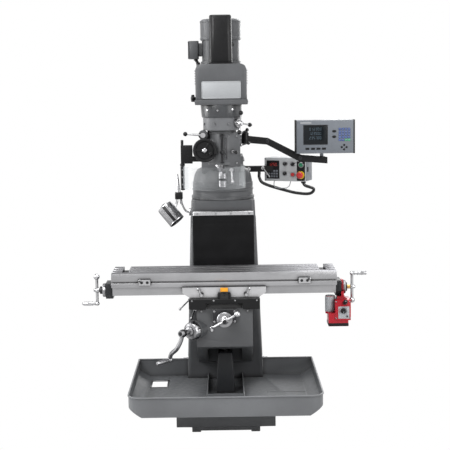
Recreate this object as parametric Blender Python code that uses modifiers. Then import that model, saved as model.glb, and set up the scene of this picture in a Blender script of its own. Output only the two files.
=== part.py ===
"""Vertical milling machine: knee, saddle and table below, turret, ram and swivelling head above.

Metres, +Z up, the operator stands at -Y. The origin is on the floor under the middle of the column's
front face. Each object is one piece of the machine; each moving group hangs on an empty on its joint.
"""

import math

import bmesh
import bpy
from mathutils import Matrix, Vector

for old in list(bpy.data.objects):
    bpy.data.objects.remove(old, do_unlink=True)

# ---------------------------------------------------------------- driving dimensions
GAP = 0.0003            # what two touching pieces keep between them
SLIP = 0.0006           # running clearance of a sliding or turning fit

TABLE_L = 1.27
TABLE_W = 0.254
TABLE_T = 0.08
TABLE_TOP = 0.88
TABLE_Y = -0.313        # middle of the table, and of its feed screw
TAIL_W = 0.14           # dovetail under the table
TAIL_H = 0.055
SLOT_PITCH = 0.0635
SLOT_W = 0.016
SLOT_FOOT = 0.028

BASE_W = 0.554
BASE_FRONT = -0.58
BASE_BACK = 0.52
BASE_TOP = 0.15
FOOT_W = 0.381
FOOT_H = 0.03
CROSSBAR = 0.04         # half the width of the foot's bar under the column's front face

TRAY_W = 1.06
TRAY_FRONT = -0.78
TRAY_BACK = 0.06
TRAY_RIM = 0.26
TRAY_WALL = 0.004

COLUMN_TOP = 1.24
COLUMN_W_TOP = 0.38
COLUMN_W_FOOT = 0.46
COLUMN_DEPTH_TOP = 0.40
COLUMN_DEPTH_FOOT = 0.48
WAY_W = 0.25
WAY_D = 0.035

KNEE_W = 0.317
KNEE_FRONT = -0.44
KNEE_TOP = 0.675
KNEE_CHIN = 0.453       # bottom edge of the knee's front face
KNEE_HEEL = 0.27        # bottom edge of the knee at the column
RIB_W = 0.20            # dovetail on top of the knee
RIB_H = 0.03
LIFT_Y = -0.25          # axis of the elevating screw
LIFT_Z = 0.555          # axis of the knee crank
CRANK_ANGLE = math.radians(40)   # the knee crank faces this far left of the front

FEED_Y_Z = 0.632        # cross feed screw
FEED_X_Z = 0.766        # long feed screw

SPINDLE_Y = -0.31
NOSE_Z = 1.35
QUILL_R = 0.0422
QUILL_BOTTOM = 1.4685
HEAD_BOTTOM = 1.481
HEAD_TOP = 1.674
COLLAR_TOP = 1.743
GEARBOX_TOP = 1.816
COVER_TOP = 2.04
COVER_W = 0.285
MOTOR_Y = -0.12
MOTOR_R = 0.108
MOTOR_TOP = 2.298
PULLEY_Z = 1.90

TURRET_Y = 0.19
TURRET_TOP = 1.43
RAM_W = 0.17
RAM_BOTTOM = 1.50
RAM_TOP = 1.67
RAM_FRONT = -0.055
RAM_BACK = 0.60
TILT_Z = 1.585          # axis that the head tilts about

PARTS = bpy.data.collections.new("vertical_milling_machine")
CUTTERS = bpy.data.collections.new("cutters")
for group in (PARTS, CUTTERS):
    bpy.context.scene.collection.children.link(group)


# ---------------------------------------------------------------- materials
def material(name, colour, roughness, metallic=0.0):
    mat = bpy.data.materials.new(name)
    mat.use_nodes = True
    shader = mat.node_tree.nodes["Principled BSDF"]
    shader.inputs["Base Color"].default_value = (*colour, 1.0)
    shader.inputs["Roughness"].default_value = roughness
    shader.inputs["Metallic"].default_value = metallic
    mat.diffuse_color = (*colour, 1.0)
    return mat


GREY = material("grey_paint", (0.13, 0.135, 0.14), 0.45)
TRAY_GREY = material("tray_paint", (0.19, 0.195, 0.20), 0.45)
DARK = material("dark_paint", (0.045, 0.047, 0.05), 0.5)
LIGHT = material("light_grey_paint", (0.42, 0.43, 0.45), 0.4)
BLACK = material("black_plastic", (0.012, 0.012, 0.013), 0.45)
RUBBER = material("rubber", (0.018, 0.018, 0.018), 0.75)
GROUND = material("ground_iron", (0.55, 0.55, 0.56), 0.28, 1.0)
STEEL = material("bright_steel", (0.62, 0.62, 0.63), 0.25, 1.0)
CHROME = material("chrome", (0.82, 0.82, 0.83), 0.08, 1.0)
CLEAR = material("clear_guard", (0.85, 0.88, 0.9), 0.05)
RED = material("red_paint", (0.55, 0.02, 0.035), 0.35)
ORANGE = material("orange_plastic", (0.85, 0.33, 0.01), 0.4)
GREEN = material("green_plastic", (0.01, 0.24, 0.12), 0.35)


# ---------------------------------------------------------------- modelling helpers
def put(name, mesh, mat, matrix=None, tool=False):
    """A new object from a mesh, in the parts or, as a tool, in the cutters."""
    obj = bpy.data.objects.new(name, mesh)
    (CUTTERS if tool else PARTS).objects.link(obj)
    if matrix is not None:
        obj.matrix_world = matrix
    if tool:
        obj.hide_render = True
        obj.display_type = "WIRE"
    else:
        mesh.materials.append(mat)
    return obj


def mesh_of(bm, name):
    bmesh.ops.recalc_face_normals(bm, faces=bm.faces)
    mesh = bpy.data.meshes.new(name)
    bm.to_mesh(mesh)
    bm.free()
    return mesh


def at(x, y, z):
    return Matrix.Translation((x, y, z))


def facing(origin, direction, up=(0, 0, 1)):
    """A frame at origin whose +Z is direction and whose +X is as near as it can be to up."""
    z = Vector(direction).normalized()
    x = Vector(up) - Vector(up).dot(z) * z
    if x.length < 1e-6:
        x = Vector((1, 0, 0)) - z.x * z
    x.normalize()
    y = z.cross(x)
    turn = Matrix((x, y, z)).transposed().to_4x4()
    return Matrix.Translation(origin) @ turn


def block(name, lows, highs, mat=None, tool=False, top=None, matrix=None):
    """A box between two corners. top=(sx, sy) narrows its upper face about the middle."""
    bm = bmesh.new()
    bmesh.ops.create_cube(bm, size=1.0)
    centre = [(a + b) / 2 for a, b in zip(lows, highs)]
    for v in bm.verts:
        narrow = top if top and v.co.z > 0 else (1, 1)
        v.co.x *= (highs[0] - lows[0]) * narrow[0]
        v.co.y *= (highs[1] - lows[1]) * narrow[1]
        v.co.z *= highs[2] - lows[2]
    return put(name, mesh_of(bm, name), mat, (matrix or Matrix()) @ at(*centre), tool)


def rod(name, start, end, r, mat=None, tool=False, r_end=None, sides=24):
    """A round bar, or a cone, from start to end."""
    start = Vector(start)
    end = Vector(end)
    bm = bmesh.new()
    bmesh.ops.create_cone(
        bm,
        cap_ends=True,
        segments=sides,
        radius1=r,
        radius2=r if r_end is None else r_end,
        depth=(end - start).length,
    )
    mesh = mesh_of(bm, name)
    return put(name, mesh, mat, facing((start + end) / 2, end - start), tool)


def ball(name, centre, r, mat=None, tool=False, sides=14):
    bm = bmesh.new()
    bmesh.ops.create_uvsphere(bm, u_segments=sides, v_segments=max(6, sides // 2), radius=r)
    return put(name, mesh_of(bm, name), mat, at(*centre), tool)


def turned(name, profile, matrix, mat=None, tool=False, sides=32, sweep=360.0):
    """A profile of (radius, height), down the outer side from top to bottom, spun about its Z."""
    mesh = bpy.data.meshes.new(name)
    bm = bmesh.new()
    verts = [bm.verts.new((r, 0, z)) for r, z in profile]
    for a, b in zip(verts, verts[1:]):
        bm.edges.new((a, b))
    closed = profile[0][0] > 1e-9 and sweep == 360.0
    if closed:
        bm.edges.new((verts[-1], verts[0]))
    bm.to_mesh(mesh)
    bm.free()
    obj = put(name, mesh, mat, matrix, tool)
    spin = obj.modifiers.new("spin", "SCREW")
    spin.angle = math.radians(sweep)
    spin.steps = sides
    spin.render_steps = sides
    spin.use_merge_vertices = True
    spin.merge_threshold = 0.00001
    return obj


def outline(name, points, depth, matrix, mat=None, tool=False):
    """A flat closed outline, extruded to a plate of this thickness about its own plane."""
    curve = bpy.data.curves.new(name, "CURVE")
    curve.dimensions = "2D"
    curve.fill_mode = "BOTH"
    curve.extrude = depth / 2
    line = curve.splines.new("POLY")
    line.points.add(len(points) - 1)
    for p, (x, y) in zip(line.points, points):
        p.co = (x, y, 0, 1)
    line.use_cyclic_u = True
    return as_mesh(name, curve, matrix, mat, tool)


def tube(name, points, r, mat=None, tool=False, ring=2):
    """A round bar along points."""
    curve = bpy.data.curves.new(name, "CURVE")
    curve.dimensions = "3D"
    curve.bevel_depth = r
    curve.bevel_resolution = ring
    curve.use_fill_caps = True
    line = curve.splines.new("POLY")
    line.points.add(len(points) - 1)
    for p, co in zip(line.points, points):
        p.co = (*co, 1)
    return as_mesh(name, curve, Matrix(), mat, tool)


def as_mesh(name, curve, matrix, mat, tool):
    """A curve made a closed mesh, its caps welded on."""
    holder = bpy.data.objects.new(name + "_curve", curve)
    CUTTERS.objects.link(holder)
    bpy.context.view_layer.update()
    evaluated = holder.evaluated_get(bpy.context.evaluated_depsgraph_get())
    mesh = bpy.data.meshes.new_from_object(evaluated)
    bpy.data.objects.remove(holder, do_unlink=True)
    bm = bmesh.new()
    bm.from_mesh(mesh)
    bmesh.ops.remove_doubles(bm, verts=bm.verts, dist=0.00001)
    bmesh.ops.recalc_face_normals(bm, faces=bm.faces)
    bm.to_mesh(mesh)
    bm.free()
    mesh.name = name
    mesh.materials.clear()
    return put(name, mesh, mat, matrix, tool)


def smooth_path(points, pieces=5):
    """Points on a smooth curve through the given ones."""
    pts = [Vector(p) for p in points]
    pts = [pts[0] * 2 - pts[1]] + pts + [pts[-1] * 2 - pts[-2]]
    out = []
    for a, b, c, d in zip(pts, pts[1:], pts[2:], pts[3:]):
        for i in range(pieces):
            t = i / pieces
            out.append(
                0.5 * (2 * b + (c - a) * t + (2 * a - 5 * b + 4 * c - d) * t * t
                       + (3 * b - a - 3 * c + d) * t ** 3)
            )
    out.append(pts[-2])
    return out


def cut(obj, *tools):
    for tool in tools:
        mod = obj.modifiers.new("cut", "BOOLEAN")
        mod.operation = "DIFFERENCE"
        mod.solver = "EXACT"
        mod.object = tool
    return obj


def fuse(obj, *tools):
    for tool in tools:
        mod = obj.modifiers.new("fuse", "BOOLEAN")
        mod.operation = "UNION"
        mod.solver = "EXACT"
        mod.object = tool
    return obj


def round_edges(obj, width, segments=1, angle=40.0):
    mod = obj.modifiers.new("edges", "BEVEL")
    mod.width = width
    mod.segments = segments
    mod.limit_method = "ANGLE"
    mod.angle_limit = math.radians(angle)
    return obj


def round_corners(obj, chosen, width, segments=4):
    """Bevels the edges of a plain mesh whose middle and direction pass the test."""
    bm = bmesh.new()
    bm.from_mesh(obj.data)
    edges = []
    for e in bm.edges:
        a, b = (v.co for v in e.verts)
        if chosen((a + b) / 2, (b - a).normalized()):
            edges.append(e)
    bmesh.ops.bevel(
        bm, geom=edges, offset=width, segments=segments, profile=0.5, affect="EDGES"
    )
    bmesh.ops.recalc_face_normals(bm, faces=bm.faces)
    bm.to_mesh(obj.data)
    bm.free()
    return obj


def group(name, place, *objects, parent=None):
    """An empty on a joint's axis that carries the pieces that move with it."""
    empty = bpy.data.objects.new(name, None)
    empty.empty_display_size = 0.05
    PARTS.objects.link(empty)
    empty.location = place
    if parent is not None:
        empty.parent = parent
        empty.matrix_parent_inverse = Matrix.Translation(-Vector(parent["place"]))
    empty["place"] = list(place)
    for obj in objects:
        obj.parent = empty
        obj.matrix_parent_inverse = Matrix.Translation(-Vector(place))
    return empty


# ---------------------------------------------------------------- base, chip tray and column
base = block("base_casting", (-BASE_W / 2, BASE_FRONT, FOOT_H), (BASE_W / 2, BASE_BACK, BASE_TOP), GREY)
fuse(base, block("foot", (-FOOT_W / 2, BASE_FRONT + 0.004, 0), (FOOT_W / 2, BASE_BACK - 0.004, 0.05),
                 tool=True))
cut(
    base,
    block("foot_relief_front", (-FOOT_W / 2 + 0.05, BASE_FRONT - 0.01, -0.01),
          (FOOT_W / 2 - 0.05, -CROSSBAR, 0.008), tool=True),
    block("foot_relief_back", (-FOOT_W / 2 + 0.05, CROSSBAR, -0.01),
          (FOOT_W / 2 - 0.05, BASE_BACK + 0.01, 0.008), tool=True),
    block("base_hollow_front", (-0.15, BASE_FRONT + 0.03, -0.01), (0.15, -CROSSBAR, BASE_TOP - 0.03),
          tool=True),
    block("base_hollow_back", (-0.15, CROSSBAR, -0.01), (0.15, BASE_BACK - 0.03, BASE_TOP - 0.03),
          tool=True),
    rod("lift_well", (0, LIFT_Y, 0.05), (0, LIFT_Y, 0.20), 0.026, tool=True),
)


def tray_shape(name, inset, low, high, tool):
    """The tray's outer form, or its basin: front corners round, lower side edges sloped in."""
    x = TRAY_W / 2 - inset
    y0 = TRAY_FRONT + inset
    y1 = TRAY_BACK - inset
    obj = block(name, (-x, y0, low), (x, y1, high), TRAY_GREY, tool)
    round_corners(obj, lambda m, d: abs(d.z) > 0.9 and m.y < 0, 0.07 - inset, 5)
    slope = math.hypot(0.075, 0.045)
    for side in (-1, 1):
        wedge = block(name + "_slope", (-0.08, y0 - 0.05, -slope), (0, y1 + 0.05, slope), tool=True)
        wedge.matrix_world = (
            at(side * x, (y0 + y1) / 2, TRAY_RIM - 0.065 - inset * 0.5 * (1 if tool else 0))
            @ Matrix.Rotation(side * math.atan2(0.075, 0.045), 4, "Y")
            @ at(side * 0.04, 0, 0)
        )
        cut(obj, wedge)
    return obj


tray_floor = BASE_TOP + GAP
tray = tray_shape("chip_tray", 0, tray_floor, TRAY_RIM, False)
cut(tray, tray_shape("basin", TRAY_WALL, tray_floor + TRAY_WALL, TRAY_RIM + 0.02, True))
fuse(tray, block("curb", (-0.106, -0.466, tray_floor + 0.001), (0.106, 0.02, 0.186), tool=True))
cut(
    tray,
    block("screw_notch", (-0.102, -0.462, 0.1), (0.102, 0.1, 0.3), tool=True),
    block("column_notch", (-COLUMN_W_FOOT / 2 - GAP, -0.002, 0.1), (COLUMN_W_FOOT / 2 + GAP, 0.2, 0.3),
          tool=True),
    block("drain", (-0.439, -0.20, 0.1), (-0.349, -0.06, 0.2), tool=True),
)

pedestal = block("screw_pedestal", (-0.055, LIFT_Y - 0.07, BASE_TOP + GAP), (0.055, LIFT_Y + 0.07, 0.385),
                 DARK, top=(0.74, 0.7))
cut(pedestal, rod("nut_bore", (0, LIFT_Y, 0.1), (0, LIFT_Y, 0.42), 0.018 + SLIP, tool=True))
round_edges(pedestal, 0.006, 2, 60)

column_depth = (COLUMN_DEPTH_TOP, COLUMN_DEPTH_FOOT)
column = block("column", (-COLUMN_W_FOOT / 2, 0, BASE_TOP + GAP),
               (COLUMN_W_FOOT / 2, COLUMN_DEPTH_FOOT, COLUMN_TOP), GREY)
for v in column.data.vertices:
    if v.co.z > 0:
        v.co.x *= COLUMN_W_TOP / COLUMN_W_FOOT
        if v.co.y > 0:
            v.co.y -= COLUMN_DEPTH_FOOT - COLUMN_DEPTH_TOP
round_corners(column, lambda m, d: abs(d.z) > 0.9, 0.02, 3)
way = block("way", (-WAY_W / 2, -WAY_D, 0.30), (WAY_W / 2, 0.03, 1.152), tool=True)
fuse(column, way)
cut(
    column,
    block("column_hollow", (-0.15, 0.05, 0.1), (0.15, 0.36, 1.17), tool=True),
    rod("turret_bore", (0, TURRET_Y, 1.1), (0, TURRET_Y, 1.3), 0.05, tool=True),
)

strip = block("cover_clamp_strip", (-0.18, -0.047, 1.1555), (0.18, -GAP, 1.18), STEEL)
round_edges(strip, 0.002)
way_cover = outline(
    "column_way_cover",
    [(-0.183, KNEE_TOP + GAP), (0.183, KNEE_TOP + GAP), (0.183, 1.155), (-0.183, 1.155)],
    0.006,
    facing((0, -WAY_D - 0.006, 0), (0, -1, 0), (1, 0, 0)),
    RUBBER,
)

# ---------------------------------------------------------------- knee
knee = outline(
    "knee",
    [
        (KNEE_FRONT, KNEE_TOP),
        (KNEE_FRONT, KNEE_CHIN),
        (-0.07, KNEE_HEEL),
        (-GAP * 2, KNEE_HEEL),
        (-GAP * 2, KNEE_TOP),
    ],
    KNEE_W,
    facing((0, 0, 0), (1, 0, 0), (0, 1, 0)),
    GREY,
)
crank_dir = Vector((-math.sin(CRANK_ANGLE), -math.cos(CRANK_ANGLE), 0))


def lift_at(distance):
    """A point on the knee crank's shaft, this far out from the elevating screw."""
    return Vector((0, LIFT_Y, LIFT_Z)) + crank_dir * distance


fuse(
    knee,
    block("knee_rib", (-RIB_W / 2, KNEE_FRONT, KNEE_TOP - 0.01), (RIB_W / 2, -0.05, KNEE_TOP + RIB_H),
          tool=True),
    rod("crank_boss", lift_at(0.18), lift_at(0.268), 0.05, tool=True),
    block("cross_feed_plate", (-0.07, KNEE_FRONT - 0.018, 0.592), (0.07, KNEE_FRONT + 0.01, 0.672), tool=True),
)
cut(
    knee,
    block("way_channel", (-WAY_W / 2 - SLIP, -WAY_D - SLIP, 0.2), (WAY_W / 2 + SLIP, 0.02, 0.8), tool=True),
    block("knee_hollow", (-0.10, -0.40, 0.2), (0.10, -0.09, 0.593), tool=True),
    block("screw_trough", (-0.028, -0.415, 0.606), (0.028, -0.075, 0.75), tool=True),
    rod("feed_bore", (0, -0.5, FEED_Y_Z), (0, -0.35, FEED_Y_Z), 0.011 + SLIP, tool=True),
    rod("shaft_bore", lift_at(0.05), lift_at(0.35), 0.012 + SLIP, tool=True),
)
knee_lock = fuse(
    rod("knee_lock_lever", (-KNEE_W / 2 - GAP, -0.33, 0.645), (-KNEE_W / 2 - 0.02, -0.33, 0.645), 0.011,
        CHROME, sides=16),
    rod("lock_arm", (-KNEE_W / 2 - 0.014, -0.33, 0.645), (-KNEE_W / 2 - 0.03, -0.395, 0.612), 0.0055,
        tool=True, sides=12),
    ball("lock_ball", (-KNEE_W / 2 - 0.03, -0.395, 0.612), 0.009, tool=True),
)

lift_screw = turned(
    "knee_elevating_screw",
    [
        (0, 0.588), (0.014, 0.588), (0.014, 0.524), (0.028, 0.524), (0.045, 0.512),
        (0.045, 0.498), (0.022, 0.498), (0.018, 0.49), (0.018, 0.04), (0.012, 0.03), (0, 0.03),
    ],
    at(0, LIFT_Y, 0),
    STEEL,
    sides=28,
)


# ---------------------------------------------------------------- cranks
def crank(name, origin, outward, toward, profile, reach, offset, ball_r, grip, mat=CHROME, back=None):
    """A ball crank: a turned hub, an arm both ways, a ball at one end and a grip at the other.

    toward is the grip's side of the arm, offset how far out the arm stands, grip its (length, radius).
    """
    frame = facing(origin, outward, toward)
    hub = turned(name, profile, frame, mat, sides=24)
    arm = rod(name + "_arm", frame @ Vector((-reach, 0, offset)), frame @ Vector((reach, 0, offset)),
              0.0085, tool=True, r_end=0.0075, sides=14)
    weight = ball(name + "_ball", frame @ Vector((-reach, 0, offset)), ball_r, tool=True)
    length, r = grip
    handle = turned(
        name + "_grip",
        [(0, length), (r * 0.6, length * 0.98), (r, length * 0.8), (r * 1.05, length * 0.5),
         (r * 0.7, length * 0.1), (r * 0.7, -0.008), (0, -0.008)],
        frame @ at(reach, 0, offset),
        tool=True,
        sides=14,
    )
    knuckle = ball(name + "_knuckle", frame @ Vector((reach, 0, offset)), 0.0125, tool=True, sides=12)
    fuse(hub, arm, weight, knuckle, handle)
    return hub


knee_crank = turned(
    "knee_crank",
    [
        (0, 0.385), (0.018, 0.385), (0.021, 0.37), (0.021, 0.355), (0.014, 0.345), (0.014, 0.318),
        (0.026, 0.314), (0.026, 0.304), (0.046, 0.30), (0.050, 0.285), (0.050, 0.269), (0.0118, 0.2685),
        (0.0118, 0.065), (0.030, 0.065), (0.018, 0.046), (0, 0.046),
    ],
    facing((0, LIFT_Y, LIFT_Z), crank_dir),
    STEEL,
    sides=24,
)
swing = facing(lift_at(0.365), crank_dir, crank_dir.cross(Vector((0, 0, 1))) * 0.50 + Vector((0, 0, -0.866)))
LIFT_REACH = 0.19
arm_points = smooth_path(
    [swing @ Vector(p) for p in ((0.0, 0, 0), (0.045, 0.012, 0.004), (0.10, 0.014, 0.012),
                                 (0.15, -0.006, 0.010), (LIFT_REACH, -0.002, 0.006))],
    3,
)
crank_grip = turned(
    "lift_grip",
    [(0, 0.105), (0.008, 0.103), (0.013, 0.09), (0.0135, 0.06), (0.009, 0.012), (0.009, -0.010), (0, -0.010)],
    swing @ at(LIFT_REACH, 0, 0.008),
    tool=True,
    sides=16,
)
fuse(
    knee_crank,
    tube("lift_arm", arm_points, 0.0125, tool=True),
    ball("lift_knuckle", swing @ Vector((LIFT_REACH, 0, 0.006)), 0.0165, tool=True),
    crank_grip,
)

y_face = KNEE_FRONT - 0.018 - GAP
y_crank = crank(
    "cross_feed_crank",
    (0, y_face, FEED_Y_Z),
    (0, -1, 0),
    (-0.88, 0, -0.47),
    [
        (0, 0.136), (0.010, 0.135), (0.015, 0.128), (0.015, 0.114), (0.012, 0.108), (0.020, 0.104),
        (0.024, 0.100), (0.040, 0.098), (0.043, 0.094), (0.043, 0.074), (0.030, 0.066), (0.030, 0.0),
        (0.011, 0.0), (0.011, -0.355), (0, -0.355),
    ],
    0.079,
    0.122,
    0.0185,
    (0.062, 0.0115),
)

# ---------------------------------------------------------------- saddle
saddle_low = KNEE_TOP + GAP
saddle_top = TABLE_TOP - TABLE_T - GAP
saddle = outline(
    "saddle",
    [
        (-0.235, saddle_top), (0.235, saddle_top), (0.235, 0.768), (0.19, 0.738), (0.19, saddle_low),
        (-0.19, saddle_low), (-0.19, 0.738), (-0.235, 0.768),
    ],
    0.29,
    facing((0, TABLE_Y + 0.001, 0), (0, -1, 0), (1, 0, 0)),
    GREY,
)
tail_low = TABLE_TOP - TABLE_T - TAIL_H
cut(
    saddle,
    block("tail_slot", (-0.3, TABLE_Y - TAIL_W / 2 - SLIP, tail_low - SLIP),
          (0.3, TABLE_Y + TAIL_W / 2 + SLIP, 0.9), tool=True),
    block("rib_slot", (-RIB_W / 2 - SLIP, -0.6, 0.6), (RIB_W / 2 + SLIP, 0, KNEE_TOP + RIB_H + SLIP),
          tool=True),
)
fuse(
    saddle,
    block("long_nut", (-0.03, TABLE_Y - 0.021, tail_low - 0.004), (0.03, TABLE_Y + 0.021, 0.784),
          tool=True),
    block("cross_nut", (-0.022, -0.262, 0.613), (0.022, -0.202, 0.72), tool=True),
)
cut(
    saddle,
    rod("long_bore", (-0.3, TABLE_Y, FEED_X_Z), (0.3, TABLE_Y, FEED_X_Z), 0.0125 + SLIP, tool=True),
    rod("cross_bore", (0, -0.6, FEED_Y_Z), (0, 0, FEED_Y_Z), 0.011 + SLIP, tool=True),
)

saddle_front = TABLE_Y + 0.001 - 0.145
front_cover = block("saddle_front_cover", (-0.20, saddle_front - 0.02, KNEE_TOP + 0.002),
                    (0.20, saddle_front - GAP, 0.737), BLACK)
cut(front_cover, block("cover_relief", (-RIB_W / 2 - 0.002, -0.6, 0.6), (RIB_W / 2 + 0.002, 0, 0.71),
                       tool=True))
round_edges(front_cover, 0.003)


def lock_lever(name, centre, outward, tip, mat=CHROME):
    """A small clamp lever: a round hub on its stud, a thin arm and a ball."""
    centre = Vector(centre)
    outward = Vector(outward).normalized()
    tip = Vector(tip)
    hub = rod(name, centre, centre + outward * 0.016, 0.0085, mat, sides=14)
    root = centre + outward * 0.011
    fuse(hub, rod(name + "_arm", root, tip, 0.004, tool=True, sides=10),
         ball(name + "_ball", tip, 0.0078, tool=True, sides=10))
    return hub


table_lock_left = lock_lever("table_lock_left", (-0.128, saddle_front - GAP, 0.757), (0, -1, 0),
                             (-0.148, saddle_front - 0.03, 0.796))
table_lock_right = lock_lever("table_lock_right", (0.124, saddle_front - GAP, 0.757), (0, -1, 0),
                              (0.142, saddle_front - 0.03, 0.796))
saddle_lock = lock_lever("saddle_lock_lever", (-0.19 - GAP, -0.375, 0.712), (-1, 0, 0),
                         (-0.252, -0.405, 0.667))
limit_switch = block("limit_switch", (-0.021, saddle_front - 0.022, 0.76), (0.021, saddle_front - GAP, 0.797),
                     ORANGE)
fuse(limit_switch, block("switch_bracket", (-0.036, saddle_front - 0.018, 0.7375),
                         (0.036, saddle_front - GAP, 0.762), tool=True))

# ---------------------------------------------------------------- table
table = block("table", (-TABLE_L / 2, TABLE_Y - TABLE_W / 2, TABLE_TOP - TABLE_T),
              (TABLE_L / 2, TABLE_Y + TABLE_W / 2, TABLE_TOP), GROUND)
fuse(table, block("tail", (-TABLE_L / 2, TABLE_Y - TAIL_W / 2, tail_low),
                  (TABLE_L / 2, TABLE_Y + TAIL_W / 2, TABLE_TOP - TABLE_T / 2), tool=True))
slot_tools = []
for i in (-1, 0, 1):
    y = TABLE_Y + i * SLOT_PITCH
    slot = outline(
        f"t_slot_{i + 1}",
        [
            (y - SLOT_W / 2, TABLE_TOP + 0.01), (y - SLOT_W / 2, TABLE_TOP - 0.018),
            (y - SLOT_FOOT / 2, TABLE_TOP - 0.018), (y - SLOT_FOOT / 2, TABLE_TOP - 0.031),
            (y + SLOT_FOOT / 2, TABLE_TOP - 0.031), (y + SLOT_FOOT / 2, TABLE_TOP - 0.018),
            (y + SLOT_W / 2, TABLE_TOP - 0.018), (y + SLOT_W / 2, TABLE_TOP + 0.01),
        ],
        TABLE_L + 0.02,
        facing((0, 0, 0), (1, 0, 0), (0, 1, 0)),
        tool=True,
    )
    slot_tools.append(slot)
for side in (-1, 1):
    slot_tools.append(
        block("pocket", (side * 0.5615 - 0.0185, -0.386, TABLE_TOP - 0.022),
              (side * 0.5615 + 0.0185, TABLE_Y + TABLE_W / 2 + 0.01, TABLE_TOP + 0.01), tool=True)
    )
cut(
    table,
    *slot_tools,
    block("stop_groove", (-0.7, TABLE_Y - TABLE_W / 2 - 0.01, 0.826),
          (0.7, TABLE_Y - TABLE_W / 2 + 0.008, 0.835), tool=True),
    block("screw_channel", (-0.7, TABLE_Y - 0.024, 0.7), (0.7, TABLE_Y + 0.024, 0.788), tool=True),
)

END = TABLE_L / 2 + GAP
BRACKET_L = 0.041
BRACKET_R = 0.031
bracket_left = outline(
    "x_bracket_left",
    [(-0.062, 0.812), (0.062, 0.812), (0.062, 0.752), (0.036, 0.722), (-0.036, 0.722), (-0.062, 0.752)],
    BRACKET_L,
    facing((-END - BRACKET_L / 2, TABLE_Y, 0), (1, 0, 0), (0, 1, 0)),
    DARK,
)
bracket_right = outline(
    "x_bracket_right",
    [(-0.062, 0.812), (0.062, 0.812), (0.062, 0.752), (0.036, 0.722), (-0.036, 0.722), (-0.062, 0.752)],
    BRACKET_R,
    facing((END + BRACKET_R / 2, TABLE_Y, 0), (1, 0, 0), (0, 1, 0)),
    DARK,
)
for bracket in (bracket_left, bracket_right):
    cut(bracket, rod("x_bore", (-0.8, TABLE_Y, FEED_X_Z), (0.8, TABLE_Y, FEED_X_Z), 0.0125 + SLIP, tool=True))

feed_x0 = END + BRACKET_R + GAP          # the power feed's flange
feed_x1 = feed_x0 + 0.015
x_screw = rod("long_feed_screw", (-END - BRACKET_L, TABLE_Y, FEED_X_Z), (feed_x1, TABLE_Y, FEED_X_Z),
              0.0125, STEEL)

crank_left = crank(
    "x_crank_left",
    (-END - BRACKET_L - GAP, TABLE_Y, FEED_X_Z),
    (-1, 0, 0),
    (0, 0, -1),
    [
        (0, 0.068), (0.010, 0.067), (0.014, 0.060), (0.014, 0.044), (0.011, 0.038), (0.020, 0.036),
        (0.020, 0.020), (0.036, 0.019), (0.038, 0.015), (0.038, 0.0), (0, 0.0),
    ],
    0.078,
    0.054,
    0.0175,
    (0.088, 0.0115),
)
crank_right = crank(
    "x_crank_right",
    (feed_x1 + GAP, TABLE_Y, FEED_X_Z),
    (1, 0, 0),
    (0, 0, 1),
    [
        (0, 0.066), (0.010, 0.065), (0.013, 0.058), (0.013, 0.044), (0.009, 0.040), (0.009, 0.024),
        (0.017, 0.022), (0.017, 0.014), (0.036, 0.013), (0.038, 0.010), (0.038, 0.0), (0, 0.0),
    ],
    0.078,
    0.052,
    0.0165,
    (0.088, 0.0105),
)

# power feed, hung below the right bearing bracket
feed = block("power_feed_housing", (0.629, -0.405, 0.589), (0.717, -0.29, 0.705), RED)
fuse(
    feed,
    block("feed_foot", (0.592, -0.40, 0.553), (0.704, -0.295, 0.628), tool=True),
    rod("feed_motor", (0.605, -0.345, 0.62), (0.605, -0.345, 0.722), 0.0275, tool=True),
    outline("feed_neck",
            [(0.642, 0.69), (0.706, 0.69), (0.70, 0.708), (feed_x1, 0.722), (feed_x1, 0.75),
             (feed_x0, 0.75), (feed_x0, 0.7205), (0.642, 0.7205)], 0.06,
            facing((0, -0.345, 0), (0, -1, 0), (1, 0, 0)), tool=True),
    rod("feed_flange", (feed_x0, TABLE_Y, FEED_X_Z), (feed_x1, TABLE_Y, FEED_X_Z), 0.046, tool=True),
)
cut(feed, rod("feed_bore", (0.5, TABLE_Y, FEED_X_Z), (0.8, TABLE_Y, FEED_X_Z), 0.0125 + SLIP, tool=True))
feed_lever = rod("power_feed_lever", (0.682, -0.405 - GAP, 0.69), (0.682, -0.417, 0.69), 0.010, STEEL, sides=16)
fuse(
    feed_lever,
    rod("feed_lever_arm", (0.682, -0.412, 0.69), (0.682, -0.45, 0.705), 0.004, tool=True, sides=10),
    ball("feed_lever_ball", (0.682, -0.452, 0.7055), 0.013, tool=True, sides=12),
)
feed_knob = turned(
    "power_feed_knob",
    [(0, 0.018), (0.012, 0.018), (0.0145, 0.014), (0.0155, 0), (0, 0)],
    facing((0.6745, -0.405 - GAP, 0.644), (0, -1, 0)),
    BLACK,
    sides=20,
)

# ---------------------------------------------------------------- turret, ram and knuckle
turret = turned(
    "turret",
    [
        (0, TURRET_TOP), (0.125, TURRET_TOP), (0.155, 1.415), (0.172, 1.385), (0.180, 1.345),
        (0.182, 1.305), (0.187, 1.302), (0.187, 1.292), (0.183, 1.288), (0.184, 1.262),
        (0.1895, 1.258), (0.1895, COLUMN_TOP + GAP), (0.0495, COLUMN_TOP + GAP), (0.0495, 1.19), (0, 1.19),
    ],
    at(0, TURRET_Y, 0),
    GREY,
    sides=36,
)
fuse(turret, block("ram_seat", (-0.125, 0.06, 1.40), (0.125, 0.34, RAM_BOTTOM - GAP), tool=True))

ram = block("ram", (-RAM_W / 2, RAM_FRONT, RAM_BOTTOM), (RAM_W / 2, RAM_BACK, RAM_TOP), GREY)
round_edges(ram, 0.012, 2)
fuse(ram, block("dro_bracket", (RAM_W / 2 - 0.02, 0.075, 1.575), (0.118, 0.125, 1.625), tool=True))

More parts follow.
